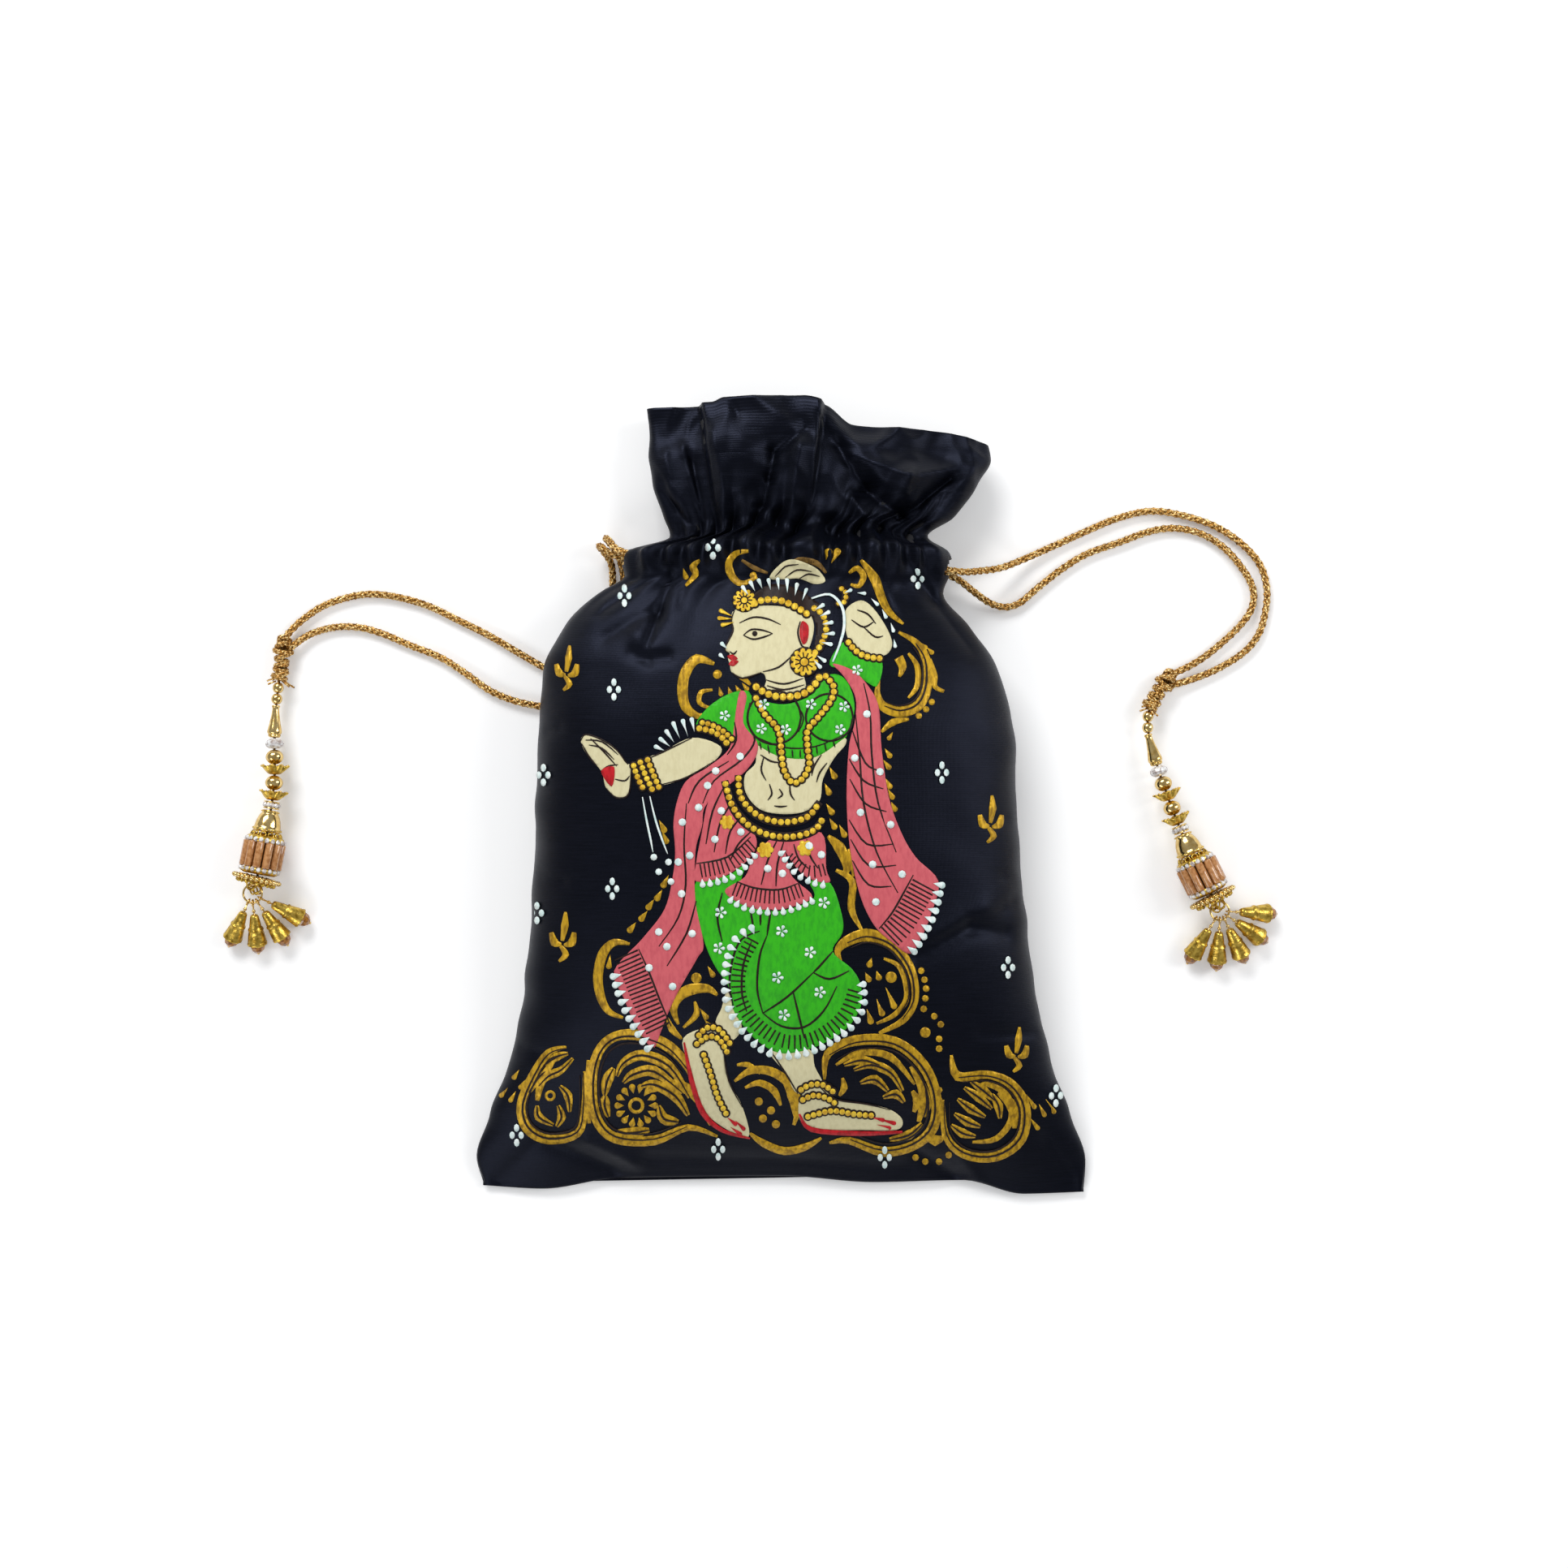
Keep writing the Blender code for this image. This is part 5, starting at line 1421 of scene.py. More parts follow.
def paint_figure(skin, green, pink, ink, red, gold, fine, white):
    """A folk dancer in profile, weight on one leg, one hand out and one raised behind the head."""
    def beads(points, step, radius):
        ink.put(bead_row(points, step, radius + 2.0))
        gold.put(bead_row(points, step, radius))

    # head, neck and ear
    skin.area((905, 752), (901, 765), (903, 778), (893, 799), (899, 805), (897, 811), (899, 818), (902, 829),
              (915, 836), (938, 829), (944, 838), (943, 850), (966, 856), (992, 850), (989, 826), (990, 806),
              (998, 796), (1003, 772), (996, 754), (982, 752), (960, 747), (930, 747))
    ink.lines(2.2, [(916, 783), (926, 776), (940, 777), (952, 781)], [(916, 783), (928, 788), (942, 785), (952, 781)],
              [(911, 768), (928, 761), (946, 763), (962, 770)], [(899, 803), (904, 806), (908, 802)],
              [(944, 838), (966, 843), (990, 836)], [(945, 845), (966, 850), (991, 844)],
              [(940, 828), (960, 822), (978, 806)], [(986, 766), (983, 780), (988, 796), (996, 798)],
              [(905, 752), (901, 765), (903, 778), (893, 799), (899, 806)], [(902, 829), (915, 836), (938, 829)])
    ink.dots(3.4, (930, 781))
    red.area((896, 809), (903, 807), (909, 812), (902, 814))
    red.area((898, 819), (904, 821), (910, 815), (902, 814))
    red.area((988, 766), (985, 780), (989, 794), (995, 789), (996, 772))
    # hair: locks tied up above the band
    skin.area((948, 712), (960, 696), (976, 689), (994, 694), (1009, 703), (1017, 716), (1004, 720), (985, 713),
              (966, 714))
    ink.lines(2.0, [(955, 710), (968, 698), (984, 695)], [(968, 712), (982, 702), (1000, 704)],
              [(985, 713), (996, 707), (1010, 710)])
    ink.area((924, 738), (944, 722), (972, 722), (998, 736), (1016, 752), (1022, 776), (1014, 800), (1004, 800),
             (1005, 770), (992, 752), (966, 744), (936, 745))
    # jewellery of the head
    beads([(926, 746), (940, 740), (960, 740), (980, 748), (996, 758)], 8.6, 4.3)
    beads([(1000, 748), (1013, 757), (1018, 773), (1013, 792), (1003, 806)], 8.0, 3.9)
    for u, v, radius in ((917, 740, 13), (991, 816, 16)):
        ink.dots(radius * 1.16, (u, v))
        gold.dots(radius * 0.84, (u, v))
        for i in range(11):
            angle = 2 * math.pi * i / 11
            gold.dots(radius * 0.2, (u + math.cos(angle) * radius * 0.88, v + math.sin(angle) * radius * 0.88))
            fine.line([(u + math.cos(angle) * radius * 0.4, v + math.sin(angle) * radius * 0.4),
                       (u + math.cos(angle) * radius * 0.74, v + math.sin(angle) * radius * 0.74)], 1.5, 1.5)
        fine.put([circle_line(u, v, radius * 0.34, 1.6)])
    gold.dabs(5, (903, 760, 886, 752), (903, 763, 884, 762), (905, 767, 888, 771))
    white.dabs(5, (922, 734, 914, 722), (930, 729, 924, 716), (939, 726, 934, 713), (950, 728, 946, 712),
               (960, 728, 958, 711), (970, 731, 970, 713), (979, 735, 982, 718), (988, 741, 994, 725),
               (1004, 752, 1016, 745), (1010, 760, 1023, 754), (1013, 770, 1027, 767), (1014, 782, 1029, 781),
               (1012, 792, 1026, 795), (1006, 808, 1018, 816), (1003, 814, 1012, 824), (896, 800, 888, 792),
               (893, 812, 886, 806))
    white.line([(1000, 738), (1022, 733), (1037, 748), (1040, 772), (1034, 796), (1026, 816)], 2, 3.5, 3.5, 2)
    # raised hand and sleeve
    skin.area((1043, 750), (1061, 740), (1077, 751), (1094, 777), (1099, 796), (1089, 808), (1068, 805),
              (1047, 791), (1041, 768))
    ink.lines(2.2, [(1049, 764), (1064, 773), (1077, 766)], [(1056, 752), (1069, 757), (1079, 769)],
              [(1064, 773), (1078, 785), (1088, 784)])
    beads([(1034, 724), (1042, 731), (1040, 742), (1032, 744)], 6.5, 3.2)
    white.dabs(4.5, (1040, 731, 1050, 727), (1056, 731, 1067, 732), (1073, 738, 1082, 747), (1086, 751, 1092, 763),
               (1097, 768, 1101, 780), (1101, 788, 1103, 799))
    green.area((1038, 792), (1052, 802), (1067, 812), (1087, 817), (1081, 845), (1067, 840), (1048, 826), (1022, 819))
    beads([(1043, 789), (1055, 803), (1070, 810), (1090, 812)], 7.5, 3.8)
    # blouse
    green.area((896, 856), (920, 851), (930, 860), (966, 868), (1000, 856), (1016, 834), (1034, 832), (1047, 846),
               (1053, 874), (1044, 905), (1038, 911), (1004, 933), (964, 933), (935, 919), (915, 905), (902, 920),
               (884, 908), (858, 896), (870, 874))
    ink.put([circle_line(954, 884, 33, 2.6), circle_line(1022, 884, 29, 2.6)])
    ink.lines(1.8, [(936, 914), (938, 924)], [(946, 918), (948, 929)], [(956, 921), (958, 932)],
              [(966, 923), (967, 934)], [(976, 924), (977, 934)], [(986, 924), (986, 934)], [(996, 922), (996, 933)],
              [(1006, 919), (1007, 930)], [(1016, 915), (1018, 926)], [(1026, 911), (1029, 921)],
              [(932, 908), (966, 921), (1004, 920), (1040, 905)], [(980, 866), (990, 884), (984, 902)])
    for u, v in ((893, 882), (941, 868), (938, 898), (999, 868), (1040, 871), (1035, 899), (968, 899), (1056, 826)):
        white.put(flower(u, v, 4.0))
    beads([(858, 897), (874, 900), (889, 908), (899, 921)], 7.8, 3.9)
    beads([(862, 890), (876, 893), (891, 901), (903, 912)], 7.0, 3.4)
    # arm held out, and the open hand
    skin.area((888, 920), (853, 909), (816, 927), (800, 934), (806, 952), (814, 967), (846, 958), (880, 938))
    skin.area((778, 945), (775, 978), (760, 983), (747, 971), (741, 950), (724, 931), (716, 913), (722, 905),
              (741, 911), (759, 923), (771, 940))
    ink.lines(2.0, [(726, 918), (742, 922), (757, 936)], [(722, 912), (742, 914), (762, 930)],
              [(741, 950), (750, 944), (762, 942)], [(853, 909), (816, 927), (800, 934)],
              [(814, 967), (846, 958), (880, 938)])
    red.area((741, 950), (757, 945), (754, 969))
    beads([(780, 940), (786, 958), (795, 976)], 7.2, 3.6)
    beads([(788, 936), (795, 954), (804, 973)], 7.2, 3.6)
    beads([(797, 933), (804, 951), (812, 970)], 7.2, 3.6)
    white.dabs(5.5, (838, 910, 829, 889), (848, 908, 841, 886), (856, 902, 852, 884), (831, 915, 820, 899),
               (826, 920, 812, 909), (819, 925, 806, 919))
    white.lines(2.4, [(792, 982), (797, 1010), (802, 1034), (805, 1050)], [(801, 981), (808, 1010), (816, 1034), (823, 1052)])
    white.dots(4.2, (806, 1056), (824, 1062), (812, 1074), (827, 1086))
    ink.lines(2.0, [(778, 945), (775, 978), (760, 983), (747, 971)], [(716, 913), (722, 905), (741, 911), (759, 923), (774, 942)],
              [(728, 910), (744, 926), (760, 944)], [(736, 944), (726, 932), (717, 916)], [(758, 960), (770, 962), (776, 956)])
    # waist
    skin.area((933, 917), (964, 931), (1004, 931), (1038, 910), (1042, 917), (1028, 934), (1014, 960), (1010, 986),
              (991, 1000), (963, 1003), (936, 997), (919, 977), (918, 955), (931, 940))
    ink.lines(2.2, [(960, 972), (964, 979), (958, 984)], [(948, 966), (951, 978), (946, 986)],
              [(973, 964), (974, 978), (979, 986)], [(941, 933), (938, 949), (944, 962)],
              [(1012, 930), (1003, 944), (1000, 956)], [(1019, 940), (1010, 952), (1006, 964)],
              [(954, 993), (962, 994), (970, 993)], [(937, 930), (950, 938), (964, 940)])
    # stole over the left shoulder
    pink.area((912, 852), (907, 874), (902, 912), (894, 928), (871, 946), (847, 961), (836, 982), (830, 1013),
              (832, 1050), (829, 1080), (819, 1120), (792, 1156), (757, 1196), (769, 1230), (784, 1264), (804, 1291),
              (814, 1272), (822, 1251), (836, 1221), (859, 1181), (867, 1163), (857, 1110), (857, 1050), (865, 1019),
              (872, 989), (920, 949), (934, 918), (916, 891), (920, 858))
    # stole over the right shoulder
    pink.area((1026, 818), (1052, 827), (1073, 850), (1083, 874), (1086, 921), (1095, 982), (1110, 1025),
              (1128, 1056), (1156, 1086), (1147, 1126), (1136, 1153), (1121, 1175), (1098, 1160), (1080, 1144),
              (1066, 1120), (1056, 1090), (1047, 1044), (1043, 982), (1046, 920), (1053, 890), (1054, 860), (1040, 834))
    # cloth over the hips: two flaps and a fan between them
    pink.area((888, 962), (872, 990), (865, 1025), (858, 1062), (858, 1086), (896, 1078), (928, 1052), (930, 1028),
              (904, 1000))
    pink.area((958, 1030), (930, 1052), (918, 1080), (893, 1098), (920, 1117), (946, 1121), (970, 1119), (1001, 1105),
              (976, 1080), (968, 1052))
    pink.area((966, 1034), (1012, 1026), (1018, 1070), (1022, 1087), (996, 1082), (975, 1061))
    for line in (
        [(924, 866), (921, 890), (930, 912), (914, 936), (880, 962), (866, 990)], [(898, 938), (862, 962), (848, 990)],
        [(846, 990), (843, 1040), (845, 1090), (836, 1130), (812, 1166)], [(858, 1110), (846, 1150), (822, 1190)],
        [(905, 890), (907, 912), (896, 930)], [(1064, 842), (1072, 880), (1074, 930), (1082, 990), (1104, 1050)],
        [(1054, 880), (1059, 930), (1064, 990), (1080, 1050), (1106, 1100)], [(1050, 900), (1066, 940), (1084, 950)],
        [(1047, 960), (1066, 990), (1092, 1000)], [(1046, 1010), (1068, 1040), (1100, 1040)],
        [(1050, 1060), (1070, 1090), (1098, 1092)], [(1046, 935), (1064, 962), (1088, 972)],
        [(1048, 1034), (1070, 1066), (1104, 1066)], [(893, 968), (878, 1000), (870, 1040)],
        [(904, 986), (888, 1012), (880, 1050)], [(916, 1004), (900, 1024), (894, 1052)], [(926, 1024), (910, 1040), (900, 1060)],
        [(958, 1034), (946, 1060), (938, 1090)], [(966, 1036), (958, 1064), (956, 1092)],
        [(978, 1040), (984, 1058), (996, 1070)], [(994, 1034), (998, 1054), (1008, 1070)],
        [(787, 1169), (800, 1198), (814, 1234), (827, 1264)], [(1125, 1078), (1112, 1102), (1098, 1126), (1083, 1144)],
        [(858, 1064), (896, 1056), (925, 1031)], [(908, 1086), (930, 1094), (960, 1096), (984, 1088)],
    ):
        ink.line(line, 1.2, 2.4, 2.4, 1.2)
    ink.put(hatch([(785, 1168), (799, 1200), (813, 1236), (826, 1264)], 5.4, 31, 2.3))
    ink.put(hatch([(1084, 1144), (1099, 1128), (1113, 1104), (1126, 1080)], 5.4, 31, 2.3))
    ink.put(hatch([(860, 1065), (894, 1057), (924, 1033)], 5.2, 17, 2.0))
    ink.put(hatch([(906, 1086), (930, 1094), (960, 1096), (986, 1088)], 5.2, 17, 2.0))
    ink.put(hatch([(975, 1050), (996, 1066), (1018, 1063)], 5.2, 15, 2.0))
    white.put(fringe([(765, 1195), (774, 1226), (788, 1256), (807, 1286)], 10.6, 15, 8.6))
    white.put(fringe([(1114, 1170), (1130, 1146), (1142, 1120), (1150, 1086)], 10.6, 15, 8.6))
    white.put(fringe([(861, 1083), (882, 1080), (906, 1070), (928, 1046)], 8.8, 11, 7.4))
    white.put(fringe([(966, 1044), (984, 1070), (1004, 1081), (1022, 1085)], 8.8, 11, 7.4))
    white.put(fringe([(900, 1101), (920, 1112), (946, 1117), (970, 1115), (1000, 1103)], 9.0, 11, 7.4))
    white.dots(4.8, (912, 932), (882, 950), (861, 995), (841, 1013), (889, 999), (881, 1034), (913, 1025), (850, 1054),
               (840, 1101), (853, 1150), (822, 1166), (829, 1215), (1068, 880), (1053, 934), (1084, 951), (1060, 1001),
               (1097, 1016), (1075, 1065), (1111, 1077), (1079, 1111), (946, 1070), (964, 1076), (997, 1042), (1012, 1053),
               (800, 1192), (812, 1148), (836, 1062), (872, 968))
    # dhoti, and the fan of its front pleats
    green.area((858, 1086), (896, 1079), (918, 1066), (914, 1092), (944, 1120), (972, 1120), (1003, 1106), (998, 1086),
               (1023, 1088), (1037, 1126), (1038, 1149), (1026, 1172), (1049, 1193), (1060, 1212), (1061, 1238),
               (1046, 1264), (1021, 1282), (991, 1294), (960, 1297), (933, 1282), (914, 1261), (903, 1242), (898, 1216),
               (882, 1192), (870, 1166), (859, 1126))
    for line in (
        [(945, 1153), (936, 1178), (933, 1218), (940, 1248)], [(940, 1248), (970, 1228), (1002, 1198)],
        [(977, 1221), (984, 1250), (991, 1279)], [(940, 1248), (963, 1264), (991, 1265), (1015, 1245), (1031, 1215)],
        [(925, 1123), (928, 1141)], [(937, 1123), (937, 1140)], [(950, 1120), (945, 1153)],
        [(936, 1147), (914, 1157), (903, 1181), (899, 1212), (904, 1242)], [(1026, 1172), (1010, 1190), (1002, 1198)],
        [(926, 1160), (916, 1188), (914, 1222), (920, 1246)], [(890, 1100), (884, 1130), (890, 1160)],
        [(1002, 1198), (1022, 1206), (1046, 1196)],
    ):
        ink.line(line, 1.2, 2.6, 2.6, 1.2)
    ink.put(hatch([(936, 1160), (921, 1190), (919, 1222), (933, 1250), (962, 1272), (990, 1274), (1016, 1262),
                   (1036, 1242), (1046, 1214)], 6.2, 17, 2.2))
    white.put(fringe([(934, 1149), (914, 1160), (904, 1184), (901, 1212), (907, 1243), (934, 1279), (961, 1292),
                      (990, 1289), (1018, 1277), (1043, 1259), (1056, 1236), (1054, 1208)], 10.0, 13, 8.4))
    for u, v in ((888, 1124), (963, 1147), (998, 1173), (886, 1168), (958, 1204), (1010, 1222), (966, 1250), (1015, 1112)):
        white.put(flower(u, v, 4.4))
    # legs and feet
    skin.area((896, 1221), (889, 1242), (882, 1262), (900, 1282), (914, 1266), (905, 1242))
    skin.area((842, 1279), (850, 1316), (864, 1362), (887, 1386), (922, 1401), (915, 1364), (898, 1331), (892, 1298),
              (898, 1284), (878, 1266))
    skin.area((949, 1294), (968, 1322), (983, 1347), (1014, 1340), (1004, 1314), (996, 1292))
    skin.area((987, 1350), (986, 1380), (1008, 1392), (1060, 1392), (1104, 1392), (1112, 1380), (1097, 1367),
              (1069, 1360), (1030, 1354), (1012, 1341))
    red.line([(843, 1284), (852, 1330), (866, 1370), (890, 1392), (924, 1402)], 2, 6, 7, 5, 2)
    red.dabs(5, (900, 1388, 914, 1398), (906, 1380, 918, 1392), (896, 1376, 908, 1386))
    red.line([(985, 1372), (1000, 1391), (1060, 1396), (1112, 1394)], 2, 6, 6, 3)
    red.dabs(5, (1076, 1384, 1098, 1390), (1082, 1378, 1104, 1384), (1074, 1376, 1090, 1380))
    beads([(859, 1278), (871, 1266), (886, 1268), (900, 1286)], 7.2, 3.6)
    beads([(856, 1288), (872, 1277), (886, 1280), (896, 1296)], 7.0, 3.5)
    beads([(866, 1296), (876, 1324), (884, 1350), (896, 1374)], 7.0, 3.5)
    beads([(984, 1344), (998, 1336), (1014, 1336), (1026, 1344)], 7.2, 3.6)
    beads([(986, 1356), (1002, 1349), (1018, 1352), (1028, 1358)], 7.0, 3.5)
    beads([(992, 1376), (1024, 1368), (1052, 1372), (1078, 1374)], 7.2, 3.6)
    ink.lines(2.0, [(1012, 1341), (1030, 1354), (1069, 1360), (1097, 1367)], [(892, 1298), (898, 1331), (915, 1364)],
              [(949, 1294), (968, 1322), (983, 1347)])
    # necklaces and belts
    beads([(928, 844), (945, 855), (966, 859), (990, 855), (1006, 841), (1012, 828)], 9.0, 4.5)
    beads([(930, 857), (942, 880), (959, 900), (963, 930), (966, 949), (976, 964), (988, 960), (997, 943),
                       (995, 921), (995, 900), (1008, 884), (1024, 863), (1027, 846), (1016, 832)], 7.6, 3.8)
    for line in ([(910, 955), (913, 982), (933, 1004), (963, 1013), (994, 1007), (1010, 988)],
                 [(893, 962), (902, 992), (920, 1015), (945, 1028), (975, 1031), (1003, 1023), (1014, 1008)]):
        ink.line(line, 9, 12, 12, 12, 9)
        gold.put(bead_row(line, 8.4, 4.0))
    for u, v, radius in ((896, 1013, 9), (943, 1047, 10), (992, 1045, 10)):
        for i in range(6):
            angle = 2 * math.pi * i / 6
            gold.dots(radius * 0.38, (u + math.cos(angle) * radius * 0.66, v + math.sin(angle) * radius * 0.66))
        gold.dots(radius * 0.4, (u, v))


def drawn_in(points, centre, share):
    """A line moved towards a centre."""
    return [(centre[0] + (u - centre[0]) * share, centre[1] + (v - centre[1]) * share) for u, v in points]


def paint_scrolls(gold, dull, dark):
    """Scrolls, leaf sprays and brush curls round the dancer, parted by dark lines."""
    gold.line([(933, 711), (914, 719), (902, 710), (898, 694), (907, 682), (922, 679)], 3, 8, 10, 8, 4)
    gold.dots(4.5, (928, 709))
    dull.line([(914, 690), (930, 700), (946, 706)], 3, 6, 3)
    dull.line([(966, 702), (984, 690), (1006, 694), (1018, 706)], 3, 7, 7, 3)
    gold.line([(1061, 690), (1077, 712), (1086, 737), (1096, 755), (1113, 769)], 4, 12, 10, 8, 3)
    gold.line([(1046, 706), (1056, 700), (1064, 710), (1058, 722), (1048, 720)], 3, 7, 8, 6, 3)
    gold.dabs(9, (1024, 694, 1034, 676), (1018, 690, 1022, 676))
    # beside the raised arm
    gold.line([(1107, 779), (1129, 792), (1141, 813), (1142, 844), (1132, 868), (1110, 877), (1089, 871), (1081, 856),
               (1083, 838)], 3, 8, 11, 13, 14, 14, 12, 8, 3)
    gold.line([(1107, 810), (1112, 822), (1108, 834)], 12, 10, 3)
    gold.line([(1119, 805), (1130, 821), (1130, 845), (1119, 860)], 3, 7, 7, 3)
    gold.line([(1146, 812), (1152, 832), (1152, 846), (1163, 852)], 3, 6, 6, 4)
    gold.dots(4.0, (1148, 865), (1141, 874), (1132, 882))
    gold.dabs(6, (1122, 788, 1132, 796), (1134, 792, 1142, 800), (1142, 798, 1150, 806), (1100, 902, 1094, 912))
    gold.line([(1086, 902), (1100, 890), (1120, 886)], 3, 9, 3)
    gold.dabs(7, (1090, 922, 1098, 934), (1088, 936, 1097, 948), (1090, 958, 1098, 972), (1094, 972, 1101, 985),
              (1098, 988, 1104, 1000))
    # beside the left shoulder
    gold.line([(880, 818), (859, 812), (845, 828), (841, 850), (845, 871), (859, 882), (872, 880)],
              4, 12, 13, 13, 12, 8, 3)
    gold.dots(5.5, (884, 831))
    gold.line([(878, 850), (864, 853), (862, 866), (876, 873)], 3, 6, 6, 3)
    gold.dabs(6, (886, 846, 889, 858), (897, 846, 901, 857), (906, 844, 912, 854), (914, 841, 922, 851))
    gold.line([(903, 828), (914, 834), (925, 844)], 3, 8, 3)
    # behind the right hip
    gold.dabs(8, (1022, 945, 1030, 960), (1016, 965, 1023, 980), (1018, 990, 1027, 1004), (1022, 1008, 1030, 1022),
              (1034, 1016, 1042, 1032))
    gold.line([(1020, 1030), (1034, 1044), (1044, 1066), (1040, 1078)], 4, 14, 12, 4)
    gold.line([(1030, 1072), (1050, 1086), (1049, 1120), (1062, 1146)], 4, 9, 9, 3)
    gold.line([(1046, 1046), (1050, 1064), (1052, 1080)], 3, 7, 3)
    # at the right knee
    gold.line([(1037, 1187), (1032, 1172), (1043, 1160), (1067, 1152), (1095, 1160), (1113, 1178), (1125, 1202),
               (1127, 1233), (1113, 1257), (1083, 1273)], 3, 8, 13, 16, 14, 11, 10, 9, 8, 4)
    gold.line([(1089, 1181), (1107, 1190), (1116, 1212), (1116, 1233), (1101, 1251), (1080, 1261)], 3, 6, 7, 7, 6, 3)
    gold.dots(7.0, (1098, 1204))
    gold.dabs(8, (1091, 1216, 1103, 1243), (1080, 1230, 1088, 1252), (1068, 1243, 1074, 1262), (1074, 1180, 1070, 1192),
              (1066, 1198, 1072, 1210), (1080, 1196, 1084, 1208))
    gold.dots(4.2, (1135, 1196), (1139, 1207), (1141, 1218), (1140, 1230), (1138, 1243), (1151, 1252), (1159, 1262),
              (1157, 1280), (1157, 1292))
    gold.dots(6.5, (1140, 1272))
    # left of the stole
    gold.line([(776, 1163), (757, 1161), (743, 1175), (737, 1202), (740, 1227), (750, 1246), (768, 1254)],
              3, 9, 12, 12, 11, 8, 3)
    gold.dabs(7, (752, 1176, 750, 1194))
    gold.dabs(8, (812, 1010, 820, 1026), (816, 1024, 822, 1040), (824, 1078, 816, 1094), (816, 1096, 808, 1110),
              (806, 1108, 797, 1121), (798, 1122, 788, 1135), (784, 1136, 774, 1149), (826, 1120, 830, 1104))
    gold.dots(6.5, (858, 1205))
    gold.line([(836, 1262), (830, 1244), (836, 1228), (852, 1219), (872, 1218), (884, 1226)], 3, 9, 13, 14, 10, 3)
    gold.line([(856, 1234), (858, 1250), (842, 1266)], 3, 8, 3)
    gold.dabs(7, (872, 1190, 880, 1204), (862, 1242, 872, 1256), (868, 1256, 878, 1268))
    gold.line([(822, 1254), (828, 1268), (840, 1280)], 3, 9, 3)
    # the bottom left
    gold.line([(857, 1350), (850, 1318), (825, 1290), (791, 1276), (758, 1277), (737, 1297), (729, 1336), (735, 1378),
               (758, 1402), (806, 1405), (848, 1389), (884, 1400)], 3, 10, 14, 14, 12, 12, 13, 13, 13, 12, 8, 3)
    gold.put([circle_line(784, 1362, 8, 4)])
    for i in range(14):
        angle = 2 * math.pi * i / 14
        du, dv = math.cos(angle), math.sin(angle)
        gold.dabs(8.0, (784 + 15 * du, 1362 + 15 * dv, 784 + 27 * du, 1362 + 27 * dv))
    for line in ([(760, 1326), (768, 1310), (791, 1300), (825, 1314), (850, 1352)],
                 [(768, 1334), (780, 1324), (806, 1320), (841, 1346)],
                 [(790, 1338), (806, 1336), (832, 1350), (848, 1374)], [(745, 1350), (748, 1332), (756, 1316)],
                 [(750, 1376), (745, 1362), (746, 1350)], [(760, 1394), (776, 1396), (800, 1392)],
                 [(812, 1362), (818, 1378), (836, 1382)]):
        gold.line(line, 4, 12, 14, 5)
        dark.lines(2.6, line)
    gold.line([(698, 1290), (676, 1297), (657, 1326), (643, 1362), (650, 1390), (676, 1404), (712, 1396), (720, 1364),
               (720, 1320)], 3, 9, 12, 13, 13, 12, 10, 8, 3)
    gold.put([circle_line(678, 1350, 5, 3.4)])
    for line in ([(664, 1338), (676, 1326), (692, 1318), (706, 1304)], [(662, 1362), (664, 1376), (682, 1386)],
                 [(690, 1338), (700, 1350), (702, 1370)], [(672, 1312), (686, 1302), (700, 1298)],
                 [(688, 1362), (692, 1376), (686, 1388)], [(652, 1346), (662, 1330), (672, 1320)]):
        gold.line(line, 4, 11, 4)
        dark.lines(2.4, line)
    gold.line([(725, 1306), (724, 1344), (726, 1384)], 4, 7, 4)
    gold.dabs(6, (626, 1340, 616, 1352), (636, 1344, 628, 1358), (648, 1330, 640, 1342), (640, 1318, 632, 1330))
    for centre, ring in (
        ((790, 1345), [(850, 1318), (825, 1290), (791, 1276), (758, 1277), (737, 1297), (729, 1336), (735, 1378),
                       (758, 1402), (806, 1405), (848, 1389)]),
        ((684, 1352), [(698, 1290), (676, 1297), (657, 1326), (643, 1362), (650, 1390), (676, 1404), (712, 1396),
                       (720, 1364), (720, 1320)]),
        ((1086, 1350), [(1020, 1298), (1054, 1282), (1102, 1284), (1137, 1312), (1153, 1350), (1150, 1388),
                        (1126, 1411), (1088, 1419), (1046, 1405)]),
        ((1212, 1374), [(1180, 1326), (1217, 1324), (1246, 1336), (1263, 1364), (1258, 1403), (1227, 1425),
                        (1188, 1422), (1165, 1398), (1162, 1355)]),
        ((1076, 1212), [(1043, 1160), (1067, 1152), (1095, 1160), (1113, 1178), (1125, 1202), (1127, 1233),
                        (1113, 1257)]),
        ((1102, 830), [(1129, 792), (1141, 813), (1142, 844), (1132, 868), (1110, 877), (1089, 871)]),
    ):
        dark.lines(2.4, drawn_in(ring, centre, 0.97), drawn_in(ring, centre, 0.85))
    # the bottom middle
    gold.line([(908, 1312), (922, 1312), (937, 1322)], 3, 7, 4)
    gold.line([(966, 1332), (976, 1350), (980, 1376)], 4, 12, 4)
    gold.line([(905, 1332), (925, 1319), (950, 1320), (972, 1335), (984, 1360), (978, 1386)], 3, 9, 11, 11, 9, 4)
    gold.line([(918, 1340), (936, 1334), (954, 1344), (962, 1362)], 3, 8, 9, 3)
    gold.dots(5.0, (935, 1357), (950, 1368), (956, 1385), (940, 1378))
    gold.line([(924, 1396), (940, 1408), (966, 1418), (992, 1413), (1012, 1402)], 3, 9, 10, 9, 3)
    gold.line([(936, 1336), (950, 1342), (956, 1352)], 3, 6, 3)
